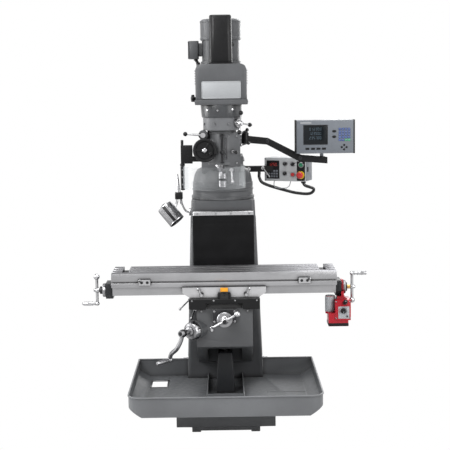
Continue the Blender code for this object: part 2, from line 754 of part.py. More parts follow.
NOD_Y = -0.109          # the knuckle's axis, square to the ram
adapter = rod("ram_adapter", (0, NOD_Y - 0.006, TILT_Z), (0, -0.165, TILT_Z), 0.082, GREY)
fuse(adapter, rod("adapter_hinge", (-0.092, NOD_Y, TILT_Z), (0.092, NOD_Y, TILT_Z),
                  RAM_FRONT - NOD_Y - 0.0005, tool=True, sides=32))

# ---------------------------------------------------------------- head
head = rod("head_casting", (0, SPINDLE_Y, HEAD_BOTTOM), (0, SPINDLE_Y, HEAD_TOP - GAP), 0.078, GREY, sides=32)
fuse(
    head,
    rod("tilt_face", (0, -0.26, TILT_Z), (0, -0.165 - GAP, TILT_Z), 0.084, tool=True),
    block("feed_box", (0.01, -0.375, 1.44), (0.102, -0.28, 1.66), tool=True),
    rod("wheel_boss", (-0.097, -0.382, 1.565), (-0.097, -0.26, 1.565), 0.031, tool=True),
    rod("lever_boss", (-0.106, -0.372, 1.648), (-0.106, -0.26, 1.648), 0.0255, tool=True),
    block("boss_web", (-0.11, -0.33, 1.54), (-0.03, -0.26, 1.66), tool=True),
)
cut(
    head,
    rod("quill_bore", (0, SPINDLE_Y, 1.4), (0, SPINDLE_Y, 1.8), QUILL_R + SLIP, tool=True, sides=32),
    block("stop_slot", (-0.007, -0.42, 1.50), (0.007, -0.3795, 1.66), tool=True),
    rod("wheel_bore", (-0.097, -0.42, 1.565), (-0.097, -0.33, 1.565), 0.0085 + SLIP, tool=True),
)

gearbox = turned(
    "gear_housing",
    [
        (0.118, GEARBOX_TOP - GAP), (0.112, COLLAR_TOP + 0.004), (0.105, COLLAR_TOP), (0.105, HEAD_TOP),
        (0.0279, HEAD_TOP), (0.0279, GEARBOX_TOP - GAP),
    ],
    at(0, SPINDLE_Y, 0),
    LIGHT,
    sides=36,
)

cover = block("belt_housing", (-COVER_W / 2, -0.425, GEARBOX_TOP), (COVER_W / 2, 0.0, COVER_TOP), GREY)
round_corners(cover, lambda m, d: abs(d.y) > 0.9 and m.z > 0, 0.03, 2)
round_corners(cover, lambda m, d: abs(d.z) > 0.9, 0.02, 2)
fuse(cover, rod("cable_gland", (-0.131, MOTOR_Y, 1.99), (-0.131, MOTOR_Y, 2.046), 0.011, tool=True, sides=16))
cut(
    cover,
    block("cover_hollow", (-0.13, -0.415, 1.825), (0.13, -0.012, 2.03), tool=True),
    rod("spindle_hole", (0, SPINDLE_Y, 1.75), (0, SPINDLE_Y, 1.84), 0.032, tool=True),
    rod("drawbar_hole", (0, SPINDLE_Y, 2.0), (0, SPINDLE_Y, 2.1), 0.022, tool=True),
    rod("motor_hole", (0, MOTOR_Y, 2.0), (0, MOTOR_Y, 2.1), 0.018, tool=True),
)

motor = turned(
    "head_motor",
    [
        (0, MOTOR_TOP), (0.106, MOTOR_TOP), (0.116, MOTOR_TOP - 0.008), (0.116, 2.182), (0.108, 2.178),
        (MOTOR_R, COVER_TOP + GAP), (0.0158, COVER_TOP + GAP), (0.0158, 2.15), (0, 2.15),
    ],
    at(0, MOTOR_Y, 0),
    GREY,
    sides=36,
)
motor_box = block("motor_terminal_box", (-0.185, -0.155, 2.075), (-0.126, -0.085, 2.178), GREY)
round_corners(motor_box, lambda m, d: abs(d.z) > 0.9, 0.012, 2)
fuse(motor_box, block("box_neck", (-0.14, -0.14, 2.09), (-MOTOR_R - 0.0004, -0.10, 2.165), tool=True))
motor_cable = tube(
    "motor_cable",
    [(-0.145, MOTOR_Y, 2.0747), (-0.145, MOTOR_Y, 2.0700), (-0.141, MOTOR_Y, 2.0640),
     (-0.135, MOTOR_Y, 2.0580), (-0.131, MOTOR_Y, 2.0520), (-0.131, MOTOR_Y, 2.0463)],
    0.008,
    BLACK,
)

drawbar = block("drawbar_cover", (-0.064, -0.372, COVER_TOP + GAP), (0.064, -0.25, 2.31), BLACK, top=(0.96, 0.96))
round_corners(drawbar, lambda m, d: abs(d.z) > 0.9, 0.028, 3)
round_corners(drawbar, lambda m, d: m.z > 0.13, 0.006, 2)
cut(drawbar, block("drawbar_hollow", (-0.04, -0.35, 2.0), (0.04, -0.272, 2.28), tool=True))

quill = turned(
    "quill",
    [(QUILL_R, 1.66), (QUILL_R, QUILL_BOTTOM), (0.0206, QUILL_BOTTOM), (0.0206, 1.66)],
    at(0, SPINDLE_Y, 0),
    STEEL,
    sides=32,
)
spindle = turned(
    "spindle",
    [
        (0, 1.985), (0.0155, 1.985), (0.0155, 1.672), (0.020, 1.67), (0.020, QUILL_BOTTOM - GAP),
        (0.036, QUILL_BOTTOM - GAP), (0.036, 1.462), (0.020, 1.437), (0.022, 1.431), (0.022, 1.40),
        (0.0205, 1.398), (0.0205, 1.388), (0.022, 1.386), (0.022, 1.353), (0.020, NOSE_Z),
        (0.0155, NOSE_Z), (0.012, 1.372), (0.012, 1.445), (0, 1.445),
    ],
    at(0, SPINDLE_Y, 0),
    STEEL,
    sides=28,
)


def pulley(name, y, r, bore, shaft, mat):
    """A flat belt pulley at PULLEY_Z, with its shaft or sleeve in the same piece."""
    top = PULLEY_Z + 0.024
    low = PULLEY_Z - 0.024
    rim = [(r + 0.004, top), (r + 0.004, top - 0.004), (r, top - 0.005), (r, low + 0.005),
           (r + 0.004, low + 0.004), (r + 0.004, low)]
    if bore:
        profile = [(bore, top), *rim, (shaft, low), (shaft, 1.69), (bore, 1.69)]
        profile = profile[1:] + profile[:1]
        return turned(name, profile, at(0, y, 0), mat, sides=28)
    profile = [(0, 2.145), (shaft, 2.145), (shaft, top), *rim, (0, low)]
    return turned(name, profile, at(0, y, 0), mat, sides=28)


PULLEY_R = 0.055
PINION_R = 0.028
spindle_pulley = pulley("spindle_pulley", SPINDLE_Y, PULLEY_R, 0.0162, 0.0275, STEEL)
motor_pulley = pulley("motor_pulley", MOTOR_Y, PINION_R, 0, 0.015, STEEL)


def belt_outline(extra):
    """The outer or inner line of an open belt around the two pulleys."""
    span = MOTOR_Y - SPINDLE_Y
    a = PULLEY_R + extra
    b = PINION_R + extra
    lean = math.acos((a - b) / span)
    points = []
    for i in range(19):
        t = lean + (2 * math.pi - 2 * lean) * i / 18
        points.append((math.sin(t) * a, SPINDLE_Y + math.cos(t) * a))
    for i in range(11):
        t = -lean + 2 * lean * i / 10
        points.append((math.sin(t) * b, MOTOR_Y + math.cos(t) * b))
    return points


belt = outline("drive_belt", belt_outline(0.0038), 0.036, at(0, 0, PULLEY_Z), RUBBER)
cut(belt, outline("belt_inside", belt_outline(0.0006), 0.05, at(0, 0, PULLEY_Z), tool=True))

feed_wheel = turned(
    "fine_feed_wheel",
    [
        (0, 0.030), (0.012, 0.029), (0.016, 0.022), (0.018, 0.014), (0.046, 0.016), (0.052, 0.024),
        (0.060, 0.026), (0.065, 0.020), (0.065, 0.013), (0.058, 0.008), (0.020, 0.006), (0.016, 0.0),
        (0.0085, 0.0), (0.0085, -0.045), (0, -0.045),
    ],
    facing((-0.097, -0.382 - GAP, 1.565), (0, -1, 0)),
    BLACK,
    sides=32,
)
fuse(feed_wheel, rod("wheel_knob", (-0.062, -0.394, 1.548), (-0.062, -0.435, 1.548), 0.0075, tool=True,
                     r_end=0.0085, sides=14))

range_lever = rod("range_lever", (-0.106, -0.372 - GAP, 1.648), (-0.106, -0.392, 1.648), 0.0145, STEEL, sides=20)
fuse(
    range_lever,
    rod("range_arm", (-0.106, -0.383, 1.648), (-0.196, -0.395, 1.656), 0.0065, tool=True, r_end=0.0045,
        sides=12),
    ball("range_ball", (-0.203, -0.396, 1.6566), 0.0115, tool=True),
)

lever_dir = Vector((0.8, -0.6, 0))
lever_foot = Vector((0, SPINDLE_Y, 1.712)) + lever_dir * (0.105 + GAP)
lever_frame = facing(lever_foot, lever_dir)
quill_lever = turned(
    "quill_feed_lever",
    [(0, 0.040), (0.010, 0.038), (0.015, 0.030), (0.017, 0.018), (0.024, 0.012), (0.024, 0.0), (0, 0.0)],
    lever_frame,
    CHROME,
    sides=20,
)
for i in range(3):
    turn = math.radians(20 + 120 * i)
    aim = Vector((math.cos(turn), math.sin(turn), 0))
    tip = lever_frame @ (aim * 0.062 + Vector((0, 0, 0.045)))
    fuse(
        quill_lever,
        rod(f"star_arm_{i}", lever_frame @ Vector((0, 0, 0.022)), tip, 0.0048, tool=True, sides=10),
        ball(f"star_knob_{i}", tip, 0.0105, tool=True, sides=10),
    )

quill_lock = rod("quill_lock_lever", (0.050, -0.375 - GAP, 1.453), (0.050, -0.390, 1.453), 0.0115, CHROME, sides=16)
fuse(
    quill_lock,
    rod("quill_lock_arm", (0.050, -0.384, 1.453), (0.056, -0.392, 1.388), 0.0042, tool=True, r_end=0.006,
        sides=12),
    ball("quill_lock_ball", (0.056, -0.392, 1.386), 0.0075, tool=True, sides=10),
)

# guard: a clear shell that swings on a post at the left of the head
POST_X = -0.226
guard_post = block("guard_post", (-0.234, -0.325, 1.487), (-0.168, -0.29, 1.59), BLACK)
fuse(
    guard_post,
    rod("post_rod", (POST_X, SPINDLE_Y, 1.335), (POST_X, SPINDLE_Y, 1.617), 0.0055, tool=True, sides=12),
    block("post_arm", (-0.17, -0.322, 1.497), (-0.0785, -0.298, 1.527), tool=True),
)
GUARD_R = 0.175
guard = turned(
    "spindle_guard",
    [(GUARD_R, 1.472), (GUARD_R, 1.348)],
    at(POST_X + GUARD_R + 0.004, SPINDLE_Y, 0) @ Matrix.Rotation(math.radians(180), 4, "Z"),
    CLEAR,
    sides=24,
    sweep=215.0,
)
thick = guard.modifiers.new("wall", "SOLIDIFY")
thick.thickness = 0.004
thick.offset = 0
fuse(guard, rod("guard_sleeve", (POST_X, SPINDLE_Y, 1.349), (POST_X, SPINDLE_Y, 1.471), 0.0105, tool=True,
                sides=16))
cut(guard, rod("sleeve_bore", (POST_X, SPINDLE_Y, 1.3), (POST_X, SPINDLE_Y, 1.5), 0.0062, tool=True,
               sides=16))

# ---------------------------------------------------------------- readout
DRO_Y = 0.10
DRO_PIVOT = (0.140, DRO_Y, 1.600)
dro_arm = outline(
    "dro_arm",
    [
        (0.124, 1.624), (0.276, 1.606), (0.476, 1.502), (0.634, 1.487), (0.634, 1.447), (0.462, 1.462),
        (0.268, 1.566), (0.124, 1.580),
    ],
    0.03,
    facing((0, DRO_Y, 0), (0, -1, 0), (1, 0, 0)),
    BLACK,
)
fuse(
    dro_arm,
    rod("dro_clamp", (DRO_PIVOT[0], DRO_Y, 1.572), (DRO_PIVOT[0], DRO_Y, 1.636), 0.0215, tool=True, sides=20),
)
DRO_X = 0.600
dro_display = block("dro_display", (0.436, 0.015, 1.512), (0.790, 0.075, 1.711), LIGHT)
round_corners(dro_display, lambda m, d: True, 0.004, 1)
fuse(
    dro_display,
    block("dro_lug", (DRO_X - 0.016, 0.06, 1.516), (DRO_X + 0.016, DRO_Y + 0.012, 1.536), tool=True),
    rod("dro_post", (DRO_X, DRO_Y, 1.4915), (DRO_X, DRO_Y, 1.53), 0.011, tool=True, sides=16),
)

# ---------------------------------------------------------------- control panel
PANEL_TURN = math.radians(-24)
PANEL_AT = Vector((0.385, 0.24, 1.402))
panel_frame = Matrix.Translation(PANEL_AT) @ Matrix.Rotation(PANEL_TURN, 4, "Z")
control_arm = block("control_arm", (0.13, 0.27, 1.388), (0.36, 0.31, 1.424), BLACK)
panel = block("control_panel", (-0.135, 0, -0.072), (0.135, 0.12, 0.072), LIGHT, matrix=panel_frame)
cut(panel, block("arm_pocket", (0.20, 0.2697, 1.3877), (0.3603, 0.3103, 1.4243), tool=True))
cut(control_arm, rod("turret_seat", (0, TURRET_Y, 1.3), (0, TURRET_Y, 1.5), 0.1712, tool=True, sides=40))


def on_panel(x, z, y=0.0):
    return panel_frame @ Vector((x, y, z))


front = panel_frame.to_3x3() @ Vector((0, -1, 0))


def panel_knob(name, x, z, r, depth, mat, sides=18):
    return rod(name, on_panel(x, z, -GAP), on_panel(x, z, -depth), r, mat, sides=sides, r_end=r * 0.9)


direction_knob = panel_knob("direction_knob", 0.002, 0.036, 0.0115, 0.016, BLACK)
speed_knob = panel_knob("speed_knob", 0.053, 0.034, 0.0115, 0.016, BLACK)
coolant_knob = panel_knob("coolant_knob", 0.001, -0.024, 0.0115, 0.016, BLACK)
reset_button = panel_knob("reset_button", 0.052, -0.030, 0.0115, 0.010, RED)
start_button = panel_knob("start_button", 0.106, 0.030, 0.0125, 0.008, GREEN)
stop_button = turned(
    "stop_button",
    [(0, 0.030), (0.017, 0.028), (0.021, 0.022), (0.021, 0.017), (0.010, 0.012), (0.010, 0), (0, 0)],
    facing(on_panel(0.104, -0.032, -GAP), front),
    RED,
    sides=20,
)
for x, z, r in ((0.052, -0.030, 0.0121), (0.106, 0.030, 0.0131), (0.104, -0.032, 0.0106)):
    cut(panel, rod("button_bore", on_panel(x, z, -0.01), on_panel(x, z, 0.009), r, tool=True, sides=20))
hook = panel_frame @ Vector((0.10, 0.06, -0.072 - 2 * GAP))
loop = smooth_path(
    [
        hook + Vector((0, 0, -0.014)), hook + Vector((0.012, 0.0, -0.030)), (0.565, 0.255, 1.278),
        (0.540, 0.27, 1.248), (0.46, 0.28, 1.252), (0.38, 0.285, 1.272), (0.30, 0.29, 1.296),
        (0.246, 0.29, 1.320), (0.228, 0.29, 1.352), (0.228, 0.29, 1.375),
    ],
    4,
)
cable_points = [hook, *loop, Vector((0.228, 0.29, 1.388 - GAP))]
panel_cable = tube("panel_cable", cable_points, 0.0095, BLACK)

# ---------------------------------------------------------------- lamp
LAMP_PIVOT = Vector((-0.278, 0.085, 1.243))
lamp_arm = tube(
    "lamp_arm",
    smooth_path([(-0.1995, 0.085, 1.165), (-0.222, 0.085, 1.168), (-0.238, 0.085, 1.19), (-0.252, 0.085, 1.224)], 3),
    0.0055,
    CHROME,
)
fuse(
    lamp_arm,
    rod("lamp_foot", (-0.2065, 0.085, 1.165), (-0.1940, 0.085, 1.165), 0.022, tool=True, sides=20),
    block("lamp_block", (-0.288, 0.065, 1.245), (-0.245, 0.105, 1.285), tool=True),
    rod("lamp_neck", (-0.252, 0.085, 1.215), (-0.256, 0.085, 1.26), 0.0075, tool=True, sides=12),
    rod("lamp_stem", (-0.268, 0.085, 1.28), (-0.275, 0.085, 1.395), 0.013, tool=True, r_end=0.006, sides=16),
)
lamp_dir = Vector((0.63, -0.24, -0.74)).normalized()
lamp_mid = Vector((-0.320, 0.078, 1.158))
lamp_shade = turned(
    "lamp_shade",
    [
        (0, 0.0625), (0.030, 0.0625), (0.048, 0.056), (0.049, 0.05), (0.049, -0.0625), (0.0465, -0.0625),
        (0.0465, 0.046), (0.028, 0.058), (0, 0.058),
    ],
    facing(lamp_mid, -lamp_dir),
    CHROME,
    sides=28,
)
fuse(lamp_shade, tube("shade_bail", smooth_path(
    [(-0.278, 0.085, 1.2444), (-0.278, 0.085, 1.228), (-0.286, 0.085, 1.208), lamp_mid + Vector((0.024, 0.0, 0.036))], 2),
    0.007, tool=True))

# ---------------------------------------------------------------- joints
knee_group = group("knee_slide", (0, 0, KNEE_TOP), knee, knee_lock)
group("lift_screw_axis", (0, LIFT_Y, LIFT_Z), lift_screw, parent=knee_group)
group("knee_crank_axis", tuple(lift_at(0.365)), knee_crank, parent=knee_group)
group("cross_feed_axis", (0, y_face, FEED_Y_Z), y_crank, parent=knee_group)
saddle_group = group("saddle_slide", (0, TABLE_Y, KNEE_TOP), saddle, front_cover, limit_switch,
                     table_lock_left, table_lock_right, saddle_lock, parent=knee_group)
table_group = group("table_slide", (0, TABLE_Y, TABLE_TOP), table, bracket_left, bracket_right, feed,
                    feed_lever, feed_knob, parent=saddle_group)
group("long_feed_axis", (0, TABLE_Y, FEED_X_Z), x_screw, crank_left, crank_right, parent=table_group)
turret_group = group("turret_axis", (0, TURRET_Y, COLUMN_TOP), turret, control_arm, panel, panel_cable,
                     direction_knob, speed_knob, coolant_knob, reset_button, start_button, stop_button)
ram_group = group("ram_slide", (0, TURRET_Y, RAM_BOTTOM), ram, parent=turret_group)
dro_group = group("dro_arm_axis", DRO_PIVOT, dro_arm, parent=ram_group)
group("dro_post_axis", (DRO_X, DRO_Y, 1.5), dro_display, parent=dro_group)
nod_group = group("nod_axis", (0, NOD_Y, TILT_Z), adapter, parent=ram_group)
head_group = group("tilt_axis", (0, -0.165, TILT_Z), head, gearbox, cover, motor, motor_box,
                   motor_cable, drawbar, belt, guard_post, parent=nod_group)
quill_group = group("quill_slide", (0, SPINDLE_Y, QUILL_BOTTOM), quill, parent=head_group)
group("spindle_axis", (0, SPINDLE_Y, NOSE_Z), spindle, parent=quill_group)
group("spindle_pulley_axis", (0, SPINDLE_Y, PULLEY_Z), spindle_pulley, parent=head_group)
group("motor_axis", (0, MOTOR_Y, PULLEY_Z), motor_pulley, parent=head_group)
group("guard_axis", (POST_X, SPINDLE_Y, 1.4), guard, parent=head_group)
group("wheel_axis", (-0.097, -0.382, 1.565), feed_wheel, parent=head_group)
group("range_axis", (-0.106, -0.372, 1.648), range_lever, parent=head_group)
group("quill_lever_axis", tuple(lever_foot), quill_lever, parent=head_group)
group("quill_lock_axis", (0.050, -0.375, 1.453), quill_lock, parent=head_group)
group("lamp_axis", tuple(LAMP_PIVOT), lamp_shade)
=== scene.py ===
"""Looks of the vertical milling machine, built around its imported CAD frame. Metres, +Z up."""

import math

import bmesh
import bpy
from mathutils import Matrix, Vector


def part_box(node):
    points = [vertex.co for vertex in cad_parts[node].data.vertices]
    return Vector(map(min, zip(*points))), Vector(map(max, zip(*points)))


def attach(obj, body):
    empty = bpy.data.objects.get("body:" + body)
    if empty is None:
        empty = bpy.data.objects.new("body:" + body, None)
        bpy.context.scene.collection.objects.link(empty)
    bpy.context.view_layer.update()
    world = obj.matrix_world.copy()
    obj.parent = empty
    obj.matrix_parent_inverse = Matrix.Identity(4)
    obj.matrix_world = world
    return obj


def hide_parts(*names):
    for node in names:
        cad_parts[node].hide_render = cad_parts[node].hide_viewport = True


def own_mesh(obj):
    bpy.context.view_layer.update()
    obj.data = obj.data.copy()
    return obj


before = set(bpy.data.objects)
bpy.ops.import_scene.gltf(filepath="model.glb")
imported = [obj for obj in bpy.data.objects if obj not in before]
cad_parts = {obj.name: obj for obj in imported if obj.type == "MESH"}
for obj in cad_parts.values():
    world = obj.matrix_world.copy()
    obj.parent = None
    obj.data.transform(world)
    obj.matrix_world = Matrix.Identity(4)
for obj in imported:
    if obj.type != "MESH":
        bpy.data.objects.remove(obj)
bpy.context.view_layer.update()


# ---- Studio: a white room with large soft lamps, a pale floor and two dark screens out of sight that
# ---- give the bright metal something to mirror.
def nodes_of(owner):
    """The owner's emptied node tree: its nodes and its links."""
    owner.use_nodes = True
    owner.node_tree.nodes.clear()
    return owner.node_tree.nodes, owner.node_tree.links


def white_to_camera(owner, output, white, other, colour, strength=None):
    """The owner is plain white to the eye, in mirrors and through glass, and coloured to other rays."""
    nodes, links = nodes_of(owner)
    out = nodes.new(output)
    path = nodes.new("ShaderNodeLightPath")
    white = nodes.new(white)
    white.inputs["Color"].default_value = (1, 1, 1, 1)
    white.inputs["Strength"].default_value = 1.0
    other = nodes.new(other)
    other.inputs["Color"].default_value = (*colour, 1)
    if strength:
        other.inputs["Strength"].default_value = strength
    mix = nodes.new("ShaderNodeMixShader")
    seen = path.outputs["Is Camera Ray"]
    for ray in ("Is Glossy Ray", "Is Transmission Ray"):
        either = nodes.new("ShaderNodeMath")
        either.operation = "MAXIMUM"
        links.new(seen, either.inputs[0])
        links.new(path.outputs[ray], either.inputs[1])
        seen = either.outputs[0]
    links.new(seen, mix.inputs[0])
    links.new(other.outputs[0], mix.inputs[1])
    links.new(white.outputs[0], mix.inputs[2])
    links.new(mix.outputs[0], out.inputs["Surface"])


def stage_sheet(name, corners, colour, seen=False):
    """A flat sheet of the studio: a floor that is seen, or a screen that is only mirrored."""
    mesh = bpy.data.meshes.new(name)
    mesh.from_pydata(corners, [], [tuple(range(len(corners)))])
    sheet = bpy.data.objects.new(name, mesh)
    bpy.context.scene.collection.objects.link(sheet)
    mat = bpy.data.materials.new(name)
    if seen:
        shaders = ("ShaderNodeEmission", "ShaderNodeBsdfDiffuse")
        white_to_camera(mat, "ShaderNodeOutputMaterial", *shaders, colour)
    else:
        nodes, links = nodes_of(mat)
        dull = nodes.new("ShaderNodeBsdfDiffuse")
        dull.inputs["Color"].default_value = (*colour, 1)
        links.new(dull.outputs[0], nodes.new("ShaderNodeOutputMaterial").inputs["Surface"])
    mesh.materials.append(mat)
    sheet.visible_camera = seen


world = bpy.data.worlds.new("studio")
bpy.context.scene.world = world
white_to_camera(world, "ShaderNodeOutputWorld", "ShaderNodeBackground", "ShaderNodeBackground",
                (0.95, 0.97, 1.0), 0.36)
FLOOR_REACH = 9
FLOOR_Z = -0.001
stage_sheet("floor", [(-FLOOR_REACH, -FLOOR_REACH, FLOOR_Z), (FLOOR_REACH, -FLOOR_REACH, FLOOR_Z),
                      (FLOOR_REACH, FLOOR_REACH, FLOOR_Z), (-FLOOR_REACH, FLOOR_REACH, FLOOR_Z)],
                      (0.78, 0.78, 0.78), True)
SCREEN_LOW = 0.2
SCREEN_HIGH = 3.2
MATT_BLACK = (0.01, 0.01, 0.01)
for screen, a, b in (("screen_left", (-2.4, -4.5), (-1.9, -4.8)),
                     ("screen_right", (1.7, -4.8), (2.3, -4.5))):
    corners = [(*a, SCREEN_LOW), (*b, SCREEN_LOW), (*b, SCREEN_HIGH), (*a, SCREEN_HIGH)]
    stage_sheet(screen, corners, MATT_BLACK)
for lamp_name, place, aim, watts, width in (
    ("key_lamp", (-2.6, -3.6, 3.6), (0, 0, 1.2), 150, 1.7),
    ("fill_lamp", (3.2, -3.0, 2.2), (0, 0, 1.1), 80, 1.9),
    ("left_lamp", (-3.4, 0.1, 1.9), (0, 0, 1.1), 90, 1.6),
    ("right_lamp", (3.4, 0.1, 1.9), (0, 0, 1.1), 14, 1.6),
    ("top_lamp", (0.0, -0.8, 4.6), (0, -0.1, 1.0), 105, 2.2),
    ("back_lamp", (1.8, 3.6, 3.0), (0, 0, 1.4), 80, 2.0),
):
    data = bpy.data.lights.new(lamp_name, "AREA")
    data.shape = "RECTANGLE"
    data.size = width
    data.size_y = width * 1.5
    data.energy = watts
    lamp = bpy.data.objects.new(lamp_name, data)
    lamp.location = place
    lamp.rotation_euler = (Vector(aim) - Vector(place)).to_track_quat("-Z", "Y").to_euler()
    bpy.context.scene.collection.objects.link(lamp)

EYE = (0.01, -6.38, 1.91)
LOOKS_DOWN = 7.3
LEANS = -0.85
lens = bpy.data.cameras.new("camera")
lens.lens = 85.8
lens.sensor_width = 36.0
camera = bpy.data.objects.new("camera", lens)
camera.matrix_world = (
    Matrix.Translation(EYE)
    @ Matrix.Rotation(math.radians(90 - LOOKS_DOWN), 4, "X")
    @ Matrix.Rotation(math.radians(LEANS), 4, "Z")
)
bpy.context.scene.collection.objects.link(camera)
bpy.context.scene.camera = camera
bpy.context.scene.view_settings.view_transform = "Standard"


# ---- Base casting: a box of grey iron on a stepped foot, cast open underneath, enamelled grey.
# ---- It stands on levelling screws at the four corners of its top flange.
def surface(name, colour, rough, metal=0.0, grain=(420, 0.00010), tone=(7, 0.10), streak=(1, 1, 1),
            corner_shade=0.0, worn=0.0, coat=0.0, above=None, **sockets):
    """A procedural finish: blotchy tone, grain, painted shade in corners, worn edges.

    above=(z, colour, rough, metal) changes the finish over that height, as where a casting is machined.
    """
    step, shade_reach, edge_radius, mottle = 0.0004, 0.03, 0.0022, 38
    mat = bpy.data.materials.new(name)
    nodes, links = nodes_of(mat)
    out = nodes.new("ShaderNodeOutputMaterial")
    shader = nodes.new("ShaderNodeBsdfPrincipled")
    links.new(shader.outputs[0], out.inputs["Surface"])
    where = nodes.new("ShaderNodeTexCoord").outputs["Object"]
    stretch = nodes.new("ShaderNodeMapping")
    stretch.inputs["Scale"].default_value = streak
    links.new(where, stretch.inputs["Vector"])

    def noise(scale, detail, source):
        n = nodes.new("ShaderNodeTexNoise")
        n.inputs["Scale"].default_value = scale
        n.inputs["Detail"].default_value = detail
        links.new(source, n.inputs["Vector"])
        return n.outputs["Fac"]

    def spread(value, a, b, c=0.3, d=0.7):
        m = nodes.new("ShaderNodeMapRange")
        for key, number in (("From Min", c), ("From Max", d), ("To Min", a), ("To Max", b)):
            m.inputs[key].default_value = number
        links.new(value, m.inputs["Value"])
        return m.outputs[0]

    def blend(factor, a, b, mode="MIX"):
        m = nodes.new("ShaderNodeMix")
        m.data_type = "RGBA"
        m.blend_type = mode
        for socket, value in ((m.inputs[0], factor), (m.inputs[6], a), (m.inputs[7], b)):
            if isinstance(value, (int, float)):
                socket.default_value = value
            elif isinstance(value, tuple):
                socket.default_value = (*value, 1)
            else:
                links.new(value, socket)
        return m.outputs[2]

    base = colour
    if above:
        height, top_colour, top_rough, top_metal = above
        xyz = nodes.new("ShaderNodeSeparateXYZ")
        links.new(where, xyz.inputs[0])
        over = spread(xyz.outputs["Z"], 0, 1, height - step, height + step)
        base = blend(over, colour, top_colour)
        roughness = spread(over, rough, top_rough, 0, 1)
        links.new(spread(over, metal, top_metal, 0, 1), shader.inputs["Metallic"])
    else:
        roughness = spread(noise(mottle, 4, stretch.outputs[0]), rough * 0.82, min(1, rough * 1.25))
        shader.inputs["Metallic"].default_value = metal
    links.new(roughness, shader.inputs["Roughness"])
    blotch = spread(noise(tone[0], 5, where), 1 - tone[1], 1 + tone[1])
    fine = noise(grain[0], 3, stretch.outputs[0])
    base = blend(1.0, base, blotch, "MULTIPLY")
    base = blend(0.35, base, spread(fine, 0.82, 1.16), "MULTIPLY")
    # Painted shade: ambient occlusion darkens the colour towards near-black in corners, slots and gaps
    # between parts.
    if corner_shade:
        corner = nodes.new("ShaderNodeAmbientOcclusion")
        corner.samples = 6
        corner.inputs["Distance"].default_value = shade_reach
        base = blend(spread(corner.outputs["AO"], corner_shade, 0.0, 0.35, 0.95), base, (0.012, 0.011, 0.010))
    if worn:
        round_off = nodes.new("ShaderNodeBevel")
        round_off.samples = 4
        round_off.inputs["Radius"].default_value = edge_radius
        true = nodes.new("ShaderNodeNewGeometry")
        dot = nodes.new("ShaderNodeVectorMath")
        dot.operation = "DOT_PRODUCT"
        links.new(round_off.outputs[0], dot.inputs[0])
        links.new(true.outputs["Normal"], dot.inputs[1])
        edge = spread(dot.outputs["Value"], worn, 0.0, 0.80, 0.985)
        lighter = tuple(min(1.0, c * 2.2 + 0.03) for c in colour)
        base = blend(edge, base, lighter)
    links.new(base, shader.inputs["Base Color"])
    bump = nodes.new("ShaderNodeBump")
    bump.inputs["Strength"].default_value = 0.6
    bump.inputs["Distance"].default_value = grain[1]
    links.new(fine, bump.inputs["Height"])
    links.new(bump.outputs[0], shader.inputs["Normal"])
    shader.inputs["Coat Weight"].default_value = coat
    shader.inputs["Coat Roughness"].default_value = 0.15
    for key, value in sockets.items():
        shader.inputs[key.replace("_", " ")].default_value = value
    return mat


def smoothing(angle):
    """Geometry nodes that shade a faceted mesh smooth where its faces meet under this angle."""
    tree = bpy.data.node_groups.new("shade_by_angle", "GeometryNodeTree")
    tree.interface.new_socket("Geometry", in_out="INPUT", socket_type="NodeSocketGeometry")
    tree.interface.new_socket("Geometry", in_out="OUTPUT", socket_type="NodeSocketGeometry")
    start = tree.nodes.new("NodeGroupInput")
    end = tree.nodes.new("NodeGroupOutput")
    plain = tree.nodes.new("GeometryNodeRemoveAttribute")
    plain.inputs["Name"].default_value = "custom_normal"
    faces = tree.nodes.new("GeometryNodeSetShadeSmooth")
    faces.domain = "FACE"
    faces.inputs["Shade Smooth"].default_value = True
    edges = tree.nodes.new("GeometryNodeSetShadeSmooth")
    edges.domain = "EDGE"
    bend = tree.nodes.new("GeometryNodeInputMeshEdgeAngle")
    flat = tree.nodes.new("FunctionNodeCompare")
    flat.operation = "LESS_THAN"
    flat.inputs["B"].default_value = math.radians(angle)
    tree.links.new(bend.outputs["Unsigned Angle"], flat.inputs["A"])
    tree.links.new(flat.outputs[0], edges.inputs["Shade Smooth"])
    tree.links.new(start.outputs[0], plain.inputs["Geometry"])
    tree.links.new(plain.outputs[0], faces.inputs["Geometry"])
    tree.links.new(faces.outputs[0], edges.inputs["Geometry"])
    tree.links.new(edges.outputs[0], end.inputs[0])
    return tree


SOFT_SHADE = smoothing(32)


def dress(mat, *nodes, edge=0.0015):
    """CAD nodes in their real finish, their edges rounded and their turned faces shaded round."""
    for name in nodes:
        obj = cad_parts[name]
        if not obj.material_slots:
            obj.data.materials.append(mat)
        obj.material_slots[0].material = mat
        weld = obj.modifiers.new("weld", "WELD")
        weld.merge_threshold = 0.00002
        if edge:
            bevel = obj.modifiers.new("edge", "BEVEL")
            bevel.width = edge
            bevel.segments = 2
            bevel.limit_method = "ANGLE"
            bevel.angle_limit = math.radians(40)
            bevel.use_clamp_overlap = True
        shade = obj.modifiers.new("shade", "NODES")
        shade.node_group = SOFT_SHADE


def add_turned(bm, profile, matrix, sides=64):
    """A closed or axis-to-axis profile of (radius, height), spun about the matrix's Z."""
    rings = []
    for r, z in profile:
        if r < 1e-7:
            rings.append([bm.verts.new(matrix @ Vector((0, 0, z)))])
            continue
        ring = []
        for i in range(sides):
            a = 2 * math.pi * i / sides
            ring.append(bm.verts.new(matrix @ Vector((r * math.cos(a), r * math.sin(a), z))))
        rings.append(ring)
    pairs = list(zip(rings, rings[1:]))
    if len(rings[0]) > 1 and len(rings[-1]) > 1:
        pairs.append((rings[-1], rings[0]))
    for a, b in pairs:
        for i in range(sides):
            j = (i + 1) % sides
            corners = [a[i % len(a)], a[j % len(a)], b[j % len(b)], b[i % len(b)]]
            corners = [v for k, v in enumerate(corners) if v not in corners[:k]]
            if len(corners) > 2:
                bm.faces.new(corners)


